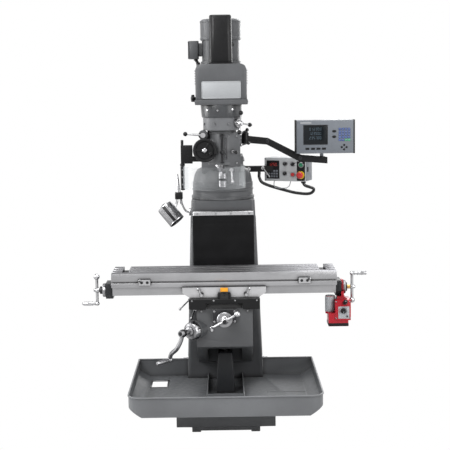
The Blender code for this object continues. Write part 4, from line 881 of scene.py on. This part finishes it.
for x, y, z, aim, tip in (
    (0.1022, -0.345, 1.590, (1, -0.2, 0), (0.145, -0.376, 1.600)),
    (0.1022, -0.300, 1.655, (1, 0, 0.2), (0.140, -0.335, 1.672)),
    (0.060, -0.3752, 1.555, FRONT, (0.078, -0.413, 1.552)),
):
    root = Vector((x, y, z))
    out = Vector(aim).normalized()
    add_turned(detail, [(0, 0.012), (0.007, 0.0115), (0.0095, 0.008), (0.0095, 0), (0, 0)],
               facing(root, out), 32)
    add_tube(detail, [root + out * 0.009, root + out * 0.016, Vector(tip)], 0.0036, 14)
piece("feed_selectors", detail, CHROME, "head_body")
detail = bmesh.new()
for tip in ((0.147, -0.378, 1.6005), (0.142, -0.337, 1.6735), (0.079, -0.416, 1.5518)):
    add_turned(detail, [(0, 0.011), (0.005, 0.0105), (0.0088, 0.006), (0.0098, 0), (0.0075, -0.006),
                        (0.004, -0.009), (0, -0.009)], facing(tip, (0.4, -1, 0.1)), 28)
piece("feed_selector_knobs", detail, PLASTIC, "head_body")

# ---- Gear housing: the light collar and, above it, the darker back-gear case over the quill, held by a ring
# ---- of cap screws, with three bright plugs in its front.
GEARS = surface("gear_case", (0.135, 0.138, 0.144), 0.40, grain=(340, 0.0002), corner_shade=0.7, worn=0.5,
                coat=0.05, above=(1.745, (0.048, 0.050, 0.053), 0.30, 0.0), Specular_IOR_Level=0.3)
dress(GEARS, "gear_housing", edge=0.002)
detail = bmesh.new()
for i in range(8):
    a = math.radians(22.5 + 45 * i)
    out = Vector((math.cos(a), math.sin(a), 0))
    add_cap(detail, facing(Vector((0, QUILL_Y, 1.708)) + 0.1052 * out, out), 0.0065, 0.005)
piece("gear_case_ring_screws", detail, GEARS, "head_body")
detail = bmesh.new()
CASE_R = 0.1145
for x, z in ((-0.022, 1.785), (-0.077, 1.788), (0.060, 1.790)):
    y = QUILL_Y - math.sqrt(CASE_R ** 2 - x * x)
    add_turned(detail, [(0, 0.005), (0.0055, 0.0045), (0.0070, 0.002), (0.0070, -0.002), (0, -0.002)],
               facing((x, y, z), (x, y - QUILL_Y, 0)), 32)
piece("gear_case_screws", detail, CHROME, "head_body")

# ---- Belt housing: the light alloy cover over the pulleys, in grey enamel, with ribbed vents at its sides,
# ---- a bare plate with a raised rim on its front and a clamp knob that holds the motor's belt tension.
HOUSING = surface("housing_enamel", (0.085, 0.087, 0.091), 0.38, grain=(300, 0.00025), corner_shade=0.5, worn=0.6,
                  coat=0.05, Specular_IOR_Level=0.15)
dress(HOUSING, "belt_housing", "motor_terminal_box", edge=0.003)
detail = bmesh.new()
for x in (-0.1437, 0.1437):
    for i in range(6):
        z = 1.930 + 0.014 * i
        add_box(detail, (x - 0.0028, -0.385, z), (x + 0.0028, -0.235, z + 0.006), edge=0.0018)
LIP_LOW = 1.817
LIP_TOP = 1.845
add_box(detail, (-0.1455, -0.4285, LIP_LOW), (0.1455, -0.4240, LIP_TOP), edge=0.0015)
for x in (-0.1440, 0.1440):
    add_box(detail, (x - 0.0022, -0.4275, LIP_LOW), (x + 0.0022, -0.004, LIP_TOP), edge=0.0015)
piece("belt_housing_ribs", detail, HOUSING, "head_body")


def rim_strips(x0, x1, z0, z1, width):
    """The top, foot, left and right strips of a flat rim with these outer sides."""
    return ((x0, x1, z1 - width, z1), (x0, x1, z0, z0 + width), (x0, x0 + width, z0, z1),
            (x1 - width, x1, z0, z1))


badge = facing((0, -0.4252, 1.898), FRONT, RIGHT)
BADGE_X = 0.1085
BADGE_Z = 0.0475
detail = bmesh.new()
add_box(detail, (-BADGE_X, -BADGE_Z, 0), (BADGE_X, BADGE_Z, 0.0022), badge, 0.0012)
for x0, x1, z0, z1 in rim_strips(-BADGE_X, BADGE_X, -BADGE_Z, BADGE_Z, 0.005):
    add_box(detail, (x0, z0, 0.002), (x1, z1, 0.0036), badge, 0.0006)
PLATE = surface("bare_plate", (0.33, 0.34, 0.35), 0.48, 0.35, (200, 0.00002), (10, 0.04), (1, 1, 12))
piece("front_plate", detail, PLATE, "head_body")
detail = bmesh.new()
knob = facing((-0.1427, -0.372, 1.852), (-1, -0.25, 0))
add_turned(detail, [(0, 0.026), (0.010, 0.026), (0.013, 0.022), (0.013, 0.008), (0.008, 0.004), (0.008, 0),
                    (0, 0)], knob, 40)
for i in range(5):
    a = math.radians(72 * i)
    lobe = knob @ at(0.0135 * math.cos(a), 0.0135 * math.sin(a), 0)
    add_turned(detail, [(0, 0.024), (0.0065, 0.0235), (0.0078, 0.020), (0.0078, 0.011), (0.0065, 0.008),
                        (0, 0.008)], lobe, 24)
piece("belt_clamp_knob", detail, PLASTIC, "head_body")
detail = bmesh.new()
for side in (-1, 1):
    for y in (-0.36, -0.06):
        add_cap(detail, facing((side * 0.1463, y, 1.831), (side, 0, 0)), 0.005, 0.0035)
piece("belt_housing_screws", detail, STEEL, "head_body")

# ---- Motor: a flange-mounted drum with a pressed fan cowl on top, enamelled; its terminal box has a screwed
# ---- lid and feeds a short cable down into the belt housing.
dress(HOUSING, "head_motor", edge=0.002)
MOTOR_Y = -0.12
drum = at(0, MOTOR_Y, 0)
detail = bmesh.new()
for r0, r1, z0, z1, z2, z3 in (
    (0.1162, 0.1178, 2.2905, 2.288, 2.280, 2.277),
    (0.1162, 0.1178, 2.196, 2.194, 2.186, 2.183),
    (0.1082, 0.1150, 2.062, 2.060, 2.0425, 2.0415),
):
    add_turned(detail, [(r0, z0), (r1, z1), (r1, z2), (r0, z3)], drum, 96)
for i in range(18):
    add_box(detail, (0.060, -0.004, 2.2975), (0.100, 0.004, 2.2995), drum @ spun(20 * i), 0.0008)
piece("motor_cowl_bands", detail, HOUSING, "head_body")
detail = bmesh.new()
for bearing in (-62, 62, 118, 242):
    out = spun(bearing) @ Vector(RIGHT)
    add_cap(detail, facing(Vector((0, MOTOR_Y, 2.205)) + 0.1165 * out, out), 0.0045, 0.003)
for y in (-0.147, -0.093):
    for z in (2.083, 2.170):
        add_cap(detail, facing((-0.1855, y, z), LEFT), 0.004, 0.003)
piece("motor_screws", detail, STEEL, "head_body")
detail = bmesh.new()
add_box(detail, (-0.1875, -0.1535, 2.0770), (-0.1845, -0.0865, 2.1760), edge=0.0012)
piece("terminal_lid", detail, HOUSING, "head_body")
detail = bmesh.new()
out = spun(-52) @ Vector(RIGHT)
add_turned(detail, [(0, 0.006), (0.009, 0.005), (0.0115, 0.002), (0.0115, -0.003), (0, -0.003)],
           facing(Vector((0, MOTOR_Y, 2.152)) + 0.108 * out, out), 32)
for x, z in ((-0.131, 2.0465), (-0.1435, 2.0665)):
    add_turned(detail, [(0, 0.010), (0.0105, 0.010), (0.0125, 0.008), (0.0125, 0), (0, 0)],
               at(x, MOTOR_Y, z), 12)
piece("motor_plugs", detail, PLASTIC, "head_body")
CABLE = surface("cable_jacket", (0.014, 0.014, 0.015), 0.42, grain=(420, 0.00012), tone=(14, 0.2))
dress(CABLE, "motor_cable", "panel_cable", edge=0)

# ---- Drawbar cover: a tall moulded black hood over the drawbar, screwed down through its foot.
HOOD = surface("hood_plastic", (0.0070, 0.0070, 0.0075), 0.34, grain=(520, 0.00010), tone=(6, 0.25),
               Specular_IOR_Level=0.22)
dress(HOOD, "drawbar_cover", edge=0.003)
detail = bmesh.new()
add_box(detail, (-0.0665, -0.3745, 2.0405), (0.0665, -0.2475, 2.0465), edge=0.0025)
piece("hood_foot", detail, HOOD, "head_body")

# ---- Quill, spindle and pulleys: the quill is ground steel with a chromed nose ring; the spindle's nose has
# ---- a blackened band and drive keys; the pulleys inside are turned steel, with a rubber belt between them.
dress(STEEL, "quill", edge=0)
NOSE = surface("spindle_steel", (0.30, 0.30, 0.31), 0.26, 1.0, (160, 0.00002), (20, 0.08), (1, 1, 18),
               corner_shade=0.4, Specular_Tint=DARK_EDGE_REFLECTION)
dress(NOSE, "spindle", edge=0)
dress(STEEL, "spindle_pulley", "motor_pulley", edge=0)
dress(RUBBER, "drive_belt", edge=0)
detail = bmesh.new()
add_turned(detail, [(0.0423, 1.4800), (0.0450, 1.4790), (0.0450, 1.4700), (0.0423, 1.4688)], axis, 80)
piece("quill_nose_ring", detail, CHROME, "quill_body")
detail = bmesh.new()
add_turned(detail, [(0.0208, 1.3978), (0.0222, 1.3970), (0.0222, 1.3890), (0.0208, 1.3882)], axis, 60)
for a in (0, 180):
    add_box(detail, (0.019, -0.0055, 1.350), (0.0235, 0.0055, 1.362), axis @ spun(a), 0.0008)
piece("nose_band", detail, BLACK_STEEL, "spindle_body")

# ---- Hand levers of the head: the fine feed handwheel in black with a chromed nut, the chromed range lever,
# ---- the three-armed quill lever with black balls and the quill clamp with its eye.
dress(BLACK, "fine_feed_wheel", edge=0.001)
dress(CHROME, "range_lever", "quill_feed_lever", "quill_lock_lever", edge=0)
wheel = facing((-0.097, -0.3823, 1.565), FRONT)
detail = bmesh.new()
arcs = [math.radians(160 - 220 * i / 12) for i in range(13)]
add_turned(detail, [(0.0615 + 0.0052 * math.cos(a), 0.0195 + 0.0072 * math.sin(a)) for a in arcs], wheel,
           96)
piece("wheel_rim", detail, BLACK, "wheel_body")
detail = bmesh.new()
add_turned(detail, [(0, 0.0345), (0.009, 0.034), (0.0125, 0.0305), (0.0125, 0.0285), (0, 0.0285)], wheel,
           40)
piece("wheel_hub_nut", detail, CHROME, "wheel_body")
detail = bmesh.new()
for i in range(3):
    add_box(detail, (0.016, -0.005, 0.0150), (0.056, 0.005, 0.0205), wheel @ spun(90 + 120 * i), 0.002)
add_turned(detail, [(0, 0.046), (0.006, 0.0455), (0.0095, 0.040), (0.0090, 0.020), (0.0065, 0.008),
                    (0, 0.008)], facing((-0.062, -0.394, 1.548), FRONT), 32)
piece("wheel_spokes", detail, BLACK, "wheel_body")
detail = bmesh.new()
add_turned(detail, [(0, 0.0128), (0.006, 0.0118), (0.0112, 0.006), (0.0126, 0), (0.0112, -0.006),
                    (0.006, -0.0105), (0, -0.0105)], facing((-0.203, -0.396, 1.6566), (-1, -0.12, 0.08)),
                    36)
piece("range_lever_ball", detail, PLASTIC, "range_body")
lever_dir = Vector((0.8, -0.6, 0))
lever_hub = facing(Vector((0, QUILL_Y, 1.712)) + lever_dir * 0.1053, lever_dir)
detail = bmesh.new()
for i in range(3):
    tip = lever_hub @ spun(20 + 120 * i) @ Vector((0.062, 0, 0.045))
    add_turned(detail, [(0, 0.0125), (0.006, 0.0115), (0.0108, 0.006), (0.0122, 0), (0.0105, -0.006),
                        (0.0062, -0.011), (0, -0.011)],
                        facing(tip, tip - lever_hub @ Vector((0, 0, 0.022))), 32)
piece("quill_lever_balls", detail, PLASTIC, "quill_lever_body")
detail = bmesh.new()
add_turned(detail, [(0.0055, 0.0032), (0.0098, 0.0032), (0.0108, 0.0015), (0.0108, -0.0015),
                    (0.0098, -0.0032), (0.0055, -0.0032)], facing((0.0562, -0.3920, 1.3845),
                                                                  (0.25, -1, 0)), 40)
piece("quill_lock_eye", detail, CHROME, "quill_lock_body")

# ---- Guard: a curved sheet of clear polycarbonate on a black sleeve, that swings on a rod held at the
# ---- head's left by a black moulded block. Collars hold it on the rod, and three screws clamp the sheet.
CLEAR = bpy.data.materials.new("clear_sheet")
nodes, links = nodes_of(CLEAR)
out = nodes.new("ShaderNodeOutputMaterial")
shader = nodes.new("ShaderNodeBsdfPrincipled")
shader.inputs["Base Color"].default_value = (0.40, 0.42, 0.43, 1)
shader.inputs["Specular IOR Level"].default_value = 0.5
links.new(shader.outputs[0], out.inputs["Surface"])
grazing = nodes.new("ShaderNodeLayerWeight")
grazing.inputs["Blend"].default_value = 0.35
where = nodes.new("ShaderNodeTexCoord")
scuffs = nodes.new("ShaderNodeTexNoise")
scuffs.inputs["Scale"].default_value = 60
scuffs.inputs["Detail"].default_value = 6
links.new(where.outputs["Object"], scuffs.inputs["Vector"])
for source, target, a, b in (
    (grazing.outputs["Facing"], "Alpha", 0.06, 0.48),
    (scuffs.outputs["Fac"], "Roughness", 0.03, 0.30),
):
    ranged = nodes.new("ShaderNodeMapRange")
    ranged.inputs["To Min"].default_value = a
    ranged.inputs["To Max"].default_value = b
    links.new(source, ranged.inputs["Value"])
    links.new(ranged.outputs[0], shader.inputs[target])
dress(CLEAR, "spindle_guard", edge=0)
dress(BLACK, "guard_post", edge=0.002)
detail = bmesh.new()
rod = at(-0.226, QUILL_Y, 0)
for r, r_out, top, shoulder, foot in ((0.0125, 0.0135, 1.4862, 1.4845, 1.4725),
                                      (0.0115, 0.0122, 1.3475, 1.3460, 1.3370)):
    add_turned(detail, [(0.0056, top), (r, top), (r_out, shoulder), (r_out, foot + 0.0015), (r, foot),
                        (0.0056, foot)], rod, 40)
add_turned(detail, [(0, 1.6205), (0.0068, 1.6195), (0.0078, 1.617), (0.0078, 1.593), (0.0056, 1.591),
                    (0, 1.591)], rod, 32)
piece("guard_collars", detail, BLACK, "head_body")
detail = bmesh.new()
add_turned(detail, [(0.0107, 1.4705), (0.0115, 1.4700), (0.0115, 1.3500), (0.0107, 1.3495)], rod, 32)
piece("guard_sleeve_skin", detail, BLACK, "guard_body")
detail = bmesh.new()
for z in (1.368, 1.410, 1.452):
    add_cap(detail, facing((-0.226, -0.3205, z), FRONT), 0.0042, 0.003)
piece("guard_screws", detail, STEEL, "guard_body")

# ---- Readout: a sheet-metal case with black plastic ends and bezel on a jointed black arm. Its face has a
# ---- dark screen, black menu, scroll and arrow keys, and blue and green keys, and its back is louvred.
CASE = surface("readout_case", (0.150, 0.162, 0.180), 0.42, grain=(620, 0.00008), tone=(6, 0.06),
               coat=0.1)
FACE = surface("readout_face", (0.140, 0.152, 0.170), 0.48, grain=(800, 0.00003), tone=(5, 0.04),
               Specular_IOR_Level=0.3)
BLUE = surface("blue_keys", (0.022, 0.055, 0.200), 0.42, grain=(700, 0.00004), tone=(30, 0.12))
GREEN = surface("green_plastic", (0.012, 0.230, 0.100), 0.30, grain=(600, 0.00004), tone=(20, 0.1),
                coat=0.3)
SCREEN = surface("dark_glass", (0.008, 0.010, 0.012), 0.16, grain=(300, 0.000005), tone=(3, 0.3), coat=0.0,
                 Specular_IOR_Level=0.2)
dress(CASE, "dro_display", edge=0.002)
dress(BLACK, "dro_arm", edge=0.003)
FACE_Y = 0.015
SKIN_Y = FACE_Y - 0.001


def on_face(x0, x1, z0, z1, rise, start=0.0010):
    """A box on the display's front between these sides, standing this far out of its printed skin."""
    return (x0, FACE_Y - start - rise, z0), (x1, FACE_Y - start + 0.0004, z1)


detail = bmesh.new()
add_box(detail, *on_face(0.446, 0.780, 1.520, 1.704, 0.0012, 0.0), edge=0.0008)
piece("readout_face", detail, FACE, "dro_body")
detail = bmesh.new()
for strip in rim_strips(0.484, 0.629, 1.5650, 1.6820, 0.0055):
    add_box(detail, *on_face(*strip, 0.0022), edge=0.0007)
for x0, x1 in ((0.4345, 0.4445), (0.7815, 0.7915)):
    add_box(detail, (x0, 0.0135, 1.5105), (x1, 0.0765, 1.7125), edge=0.003)
for x in (0.4957, 0.5297, 0.5613, 0.5947):
    add_box(detail, *on_face(x, x + 0.0235, 1.5345, 1.5470, 0.0024), edge=0.001)
for z in (1.6436, 1.6108):
    add_turned(detail, [(0, 0.0038), (0.0100, 0.0034), (0.0125, 0.0018), (0.0125, 0), (0, 0)],
               facing((0.6675, SKIN_Y, z), FRONT, RIGHT) @ Matrix.Diagonal((1, 0.62, 1, 1)), 36)
piece("readout_black_parts", detail, PLASTIC, "dro_body")
detail = bmesh.new()
add_box(detail, *on_face(0.4890, 0.6240, 1.5700, 1.6770, 0.0009), edge=0.0002)
piece("readout_screen", detail, SCREEN, "dro_body")


def add_digit(bm, matrix, digit, size):
    """A seven-bar figure, this tall, standing on the matrix's XY plane."""
    bars = {"a": (0, 1, 1), "b": (1, 0.5, 0), "c": (1, 0, 0), "d": (0, 0, 1), "e": (0, 0, 0),
            "f": (0, 0.5, 0), "g": (0, 0.5, 1)}
    shown = {"0": "abcdef", "1": "bc", "2": "abged", "3": "abgcd", "5": "afgcd", "7": "abc",
             "8": "abcdefg"}[digit]
    w = size * 0.5
    t = size * 0.11
    rise = 0.0003
    for bar in shown:
        x, y, flat = bars[bar]
        if flat:
            add_box(bm, (t, y * size - t / 2, 0), (w - t, y * size + t / 2, rise), matrix)
        else:
            low_end = y * size + t
            high_end = (y + 0.5) * size - t
            add_box(bm, (x * w - t / 2, low_end, 0), (x * w + t / 2, high_end, rise), matrix)


def glow(name, colour, strength):
    """Figures lit from behind."""
    return surface(name, tuple(c * 0.4 for c in colour), 0.4, grain=(500, 0.00001),
                   Emission_Color=(*colour, 1), Emission_Strength=strength)


detail = bmesh.new()
for row, z in enumerate((1.650, 1.624, 1.598)):
    for i, digit in enumerate("0123578"[row:row + 4] + "00"):
        add_digit(detail, facing((0.520 + 0.0125 * i, FACE_Y - 0.0021, z), FRONT, RIGHT), digit, 0.0145)
piece("readout_digits", detail, glow("screen_figures", (0.20, 0.30, 0.38), 0.10), "dro_body")
KEY_PITCH_X = 0.0182
KEY_PITCH_Z = 0.0162
detail = bmesh.new()
greens = bmesh.new()
for row in range(5):
    for col in range(4):
        x = 0.6935 + KEY_PITCH_X * col
        z = 1.6500 - KEY_PITCH_Z * row
        keys = greens if row == 4 and col > 1 else detail
        add_box(keys, *on_face(x, x + 0.0150, z, z + 0.0125, 0.0026), edge=0.001)
piece("readout_blue_keys", detail, BLUE, "dro_body")
piece("readout_green_keys", greens, GREEN, "dro_body")
detail = bmesh.new()
for dx, dz in ((-0.0145, 0), (0.0145, 0), (0, 0.0130), (0, -0.0130)):
    add_turned(detail, [(0, 0.0034), (0.0056, 0.0032), (0.0070, 0.0018), (0.0070, 0), (0, 0)],
               facing((0.7266 + dx, SKIN_Y, 1.5480 + dz), FRONT), 6)
piece("readout_arrow_keys", detail, BLACK, "dro_body")
detail = bmesh.new()
add_box(detail, *on_face(0.466, 0.5315, 1.6895, 1.6990, 0.0003, 0.0012), edge=0.0001)
for row in range(5):
    for col in range(4):
        x = 0.6958 + KEY_PITCH_X * col
        z = 1.6552 - KEY_PITCH_Z * row
        add_box(detail, *on_face(x, x + 0.0094, z, z + 0.0020, 0.0003, 0.0036))
PRINT = surface("pale_print", (0.30, 0.31, 0.32), 0.5, grain=(600, 0.00001))
piece("readout_print", detail, PRINT, "dro_body")
detail = bmesh.new()
add_turned(detail, [(0.012, 1.4910), (0.0185, 1.4910), (0.0200, 1.490), (0.0200, 1.484), (0.012, 1.484)],
           at(0.600, 0.10, 0), 40)
for i in range(9):
    add_box(detail, (0.470 + 0.032 * i, 0.0745, 1.555), (0.488 + 0.032 * i, 0.0762, 1.665), edge=0.001)
piece("readout_back_vents", detail, BLACK, "dro_body")
detail = bmesh.new()
pivot = at(0.140, 0.10, 0)
add_turned(detail, [(0, 1.6505), (0.010, 1.650), (0.0165, 1.646), (0.0165, 1.638), (0.0225, 1.637),
                    (0.0225, 1.634), (0, 1.634)], pivot, 40)
piece("readout_arm_knob", detail, PLASTIC, "dro_arm_body")
detail = bmesh.new()
for x, z in ((0.272, 1.586), (0.469, 1.482)):
    add_turned(detail, [(0, 0.004), (0.011, 0.004), (0.0125, 0.0025), (0.0125, 0), (0, 0)],
               facing((x, 0.0848, z), FRONT), 40)
    add_hex(detail, facing((x, 0.0808, z), FRONT), 0.0065, 0.004)
piece("readout_arm_bolts", detail, BLACK_STEEL, "dro_arm_body")

# ---- Control panel: a folded steel box, pale enamel, hung from the turret on a black arm; a speed display
# ---- with keys at its left, selector knobs, and a black plate with the start and stop buttons at its right.
PANEL = surface("panel_enamel", (0.56, 0.57, 0.58), 0.44, grain=(480, 0.0001), tone=(6, 0.05), corner_shade=0.35,
                coat=0.1)
dress(PANEL, "control_panel", edge=0.002)
dress(BLACK, "control_arm", edge=0.002)
dress(PLASTIC, "direction_knob", "speed_knob", "coolant_knob", edge=0.001)
RED_GLOSS = surface("red_button", (0.60, 0.018, 0.018), 0.26, grain=(600, 0.00004), tone=(20, 0.08),
                    coat=0.4)
dress(RED_GLOSS, "reset_button", "stop_button", edge=0.0008)
dress(GREEN, "start_button", edge=0.0008)
panel = at(0.385, 0.24, 1.402) @ spun(-24)


def on_panel(x, z, out=0.0):
    """A frame on the panel's front at this place, X to its right, Y up and Z out."""
    return panel @ facing((x, -out, z), FRONT, RIGHT)


DIRECTION = (0.002, 0.036)
SPEED = (0.053, 0.034)
COOLANT = (0.001, -0.024)
keypad = on_panel(-0.0785, -0.001)
detail = bmesh.new()
add_box(detail, (-0.0425, -0.0565, 0), (0.0425, 0.0565, 0.0010), keypad, 0.0006)
for lows, highs in (((-0.0265, -0.0640), (-0.0130, 0.0560)), ((0.0133, -0.0640), (0.0265, 0.0560)),
                    ((-0.0130, -0.0640), (0.0133, -0.0415)), ((-0.0130, -0.0150), (0.0133, 0.0210)),
                    ((-0.0130, 0.0472), (0.0133, 0.0560))):
    add_box(detail, (*lows, 0), (*highs, 0.0008), on_panel(0.1055, -0.004))
piece("panel_black_plates", detail, PLASTIC, "turret_body")
detail = bmesh.new()
add_box(detail, (-0.0340, 0.0165, 0.0010), (0.0340, 0.0480, 0.0016), keypad, 0.0003)
piece("panel_window", detail, SCREEN, "turret_body")
detail = bmesh.new()
for i, digit in enumerate("1250"):
    add_digit(detail, keypad @ at(-0.026 + 0.0142 * i, 0.0232, 0.0016), digit, 0.0175)
piece("panel_figures", detail, glow("red_figures", (1.0, 0.06, 0.03), 0.22), "turret_body")
detail = bmesh.new()
for i in range(3):
    for j in range(4):
        x = -0.0325 + 0.0172 * j
        z = -0.0480 + 0.0170 * i
        add_box(detail, (x, z, 0.0010), (x + 0.0130, z + 0.0115, 0.0022), keypad, 0.0008)
KEYS = surface("grey_keys", (0.17, 0.18, 0.20), 0.45, grain=(600, 0.00004))
piece("panel_keys", detail, KEYS, "turret_body")
detail = bmesh.new()
add_turned(detail, [(0.0125, 0.0016), (0.0235, 0.0014), (0.0245, 0.0004), (0.0245, 0), (0.0125, 0)],
           on_panel(0.104, -0.032, 0.0008), 56)
YELLOW = surface("yellow_ring", (0.80, 0.56, 0.02), 0.38, grain=(600, 0.00004))
piece("stop_ring", detail, YELLOW, "turret_body")
detail = bmesh.new()
for knob_place in (DIRECTION, SPEED, COOLANT):
    add_turned(detail, [(0.0118, 0.0020), (0.0150, 0.0018), (0.0160, 0.0008), (0.0160, 0), (0.0118, 0)],
               on_panel(*knob_place), 48)
for x, z, r in ((0.052, -0.030, 0.0121), (0.106, 0.030, 0.0131)):
    add_turned(detail, [(r, 0.0035), (r + 0.0026, 0.0035), (r + 0.0040, 0.0022), (r + 0.0040, 0), (r, 0)],
               on_panel(x, z), 48)
for x in (-0.127065, 0.127065):
    for z in (-0.066, 0.066):
        add_cap(detail, on_panel(x, z), 0.0035, 0.002)
piece("panel_bezels", detail, SATIN, "turret_body")
for body, knob_place in (("direction_switch", DIRECTION), ("speed_dial", SPEED),
                         ("coolant_switch", COOLANT)):
    detail = bmesh.new()
    add_box(detail, (-0.0009, 0.0005, 0.0160), (0.0009, 0.0098, 0.0166), on_panel(*knob_place), 0.0002)
    piece(f"{body}_pointer", detail, PALE, body)
detail = bmesh.new()
for knob_place, marks, first, last in ((DIRECTION, 3, 45, 135), (SPEED, 11, -45, 225),
                                       (COOLANT, 2, 45, 135)):
    for i in range(marks):
        add_box(detail, (0.0182, -0.0005, 0), (0.0215, 0.0005, 0.0002),
                on_panel(*knob_place) @ spun(first + (last - first) * i / (marks - 1)))
piece("panel_marks", detail, INK, "turret_body")
detail = bmesh.new()
add_box(detail, (0.1351, 0.004, -0.069), (0.1358, 0.116, 0.069), panel, 0.0003)
piece("panel_side_cover", detail, CASE, "turret_body")
detail = bmesh.new()
bends = ((-0.075, 0.012, -0.0725), (-0.075, 0.004, -0.095), (-0.066, 0.0, -0.112), (-0.03, -0.002, -0.116),
         (0.012, -0.002, -0.114), (0.030, 0.0, -0.100), (0.034, 0.012, -0.0725))
add_tube(detail, [panel @ Vector(p) for p in bends], 0.0026, 12)
piece("panel_hook", detail, PALE, "turret_body")
detail = bmesh.new()
add_box(detail, (0.1352, 0.030, -0.014), (0.1395, 0.048, 0.016), panel, 0.0012)
add_turned(detail, [(0, 0.016), (0.0125, 0.016), (0.0150, 0.013), (0.0150, 0), (0, 0)],
           facing(panel @ Vector((0.10, 0.06, -0.0725)), (0, 0, -1)), 6)
piece("panel_latch", detail, PLASTIC, "turret_body")
detail = bmesh.new()
add_hex(detail, facing((0.162, 0.2698, 1.406), FRONT), 0.010, 0.008)
add_tube(detail, [(0.250, 0.266, 1.412), (0.250, 0.252, 1.414), (0.262, 0.246, 1.398),
                  (0.292, 0.240, 1.356)], 0.0048, 14)
add_turned(detail, [(0, 0.010), (0.010, 0.009), (0.012, 0.006), (0.012, 0), (0, 0)],
           facing((0.250, 0.2702, 1.412), FRONT), 32)
piece("panel_arm_clamp", detail, CHROME, "turret_body")

# ---- Lamp: a ribbed aluminium shade at the column's left with two black strips down its sides and a frosted
# ---- bulb, on a chromed stalk whose joint has a black cover.
SHADE = surface("lamp_shade", (0.50, 0.50, 0.51), 0.24, 1.0, (120, 0.00003), (14, 0.08), corner_shade=0.5,
                Specular_Tint=DARK_EDGE_REFLECTION)
dress(SHADE, "lamp_shade", edge=0)
dress(CHROME, "lamp_arm", edge=0.001)
lamp_dir = Vector((0.63, -0.24, -0.74)).normalized()
shade = facing(Vector((-0.320, 0.078, 1.158)), -lamp_dir)
detail = bmesh.new()
for i in range(12):
    z = -0.056 + 0.0086 * i
    add_turned(detail, [(0.0490, z + 0.0026), (0.0506, z + 0.0014), (0.0506, z - 0.0014),
                        (0.0490, z - 0.0026)], shade, 72)
add_turned(detail, [(0.0464, -0.0605), (0.0504, -0.0605), (0.0512, -0.0625), (0.0504, -0.0645),
                    (0.0464, -0.0645)], shade, 72)
piece("lamp_ribs", detail, SHADE, "lamp_body")
detail = bmesh.new()
for bearing in (105, 285):
    add_box(detail, (0.0490, -0.0090, -0.060), (0.0516, 0.0090, 0.052), shade @ spun(bearing), 0.0007)
add_turned(detail, [(0, 0.0075), (0.012, 0.0075), (0.0135, 0.006), (0.0135, 0), (0, 0)],
           shade @ at(0, 0, 0.0622), 32)
add_box(detail, (-0.2895, 0.0635, 1.2440), (-0.2435, 0.1065, 1.2865), edge=0.004)
piece("lamp_joint_cover", detail, PLASTIC, "lamp_body")
detail = bmesh.new()
bulb = [(0, -0.040)]
for i in range(1, 12):
    a = math.radians(180 - 13 * i)
    bulb.append((0.027 * math.sin(a), -0.013 + 0.027 * math.cos(a)))
bulb += [(0.014, 0.018), (0.013, 0.045), (0, 0.045)]
add_turned(detail, bulb, shade, 48)
FROSTED = surface("frosted_glass", (0.78, 0.77, 0.73), 0.35, grain=(400, 0.00002), coat=0.5)
piece("lamp_bulb", detail, FROSTED, "lamp_body")
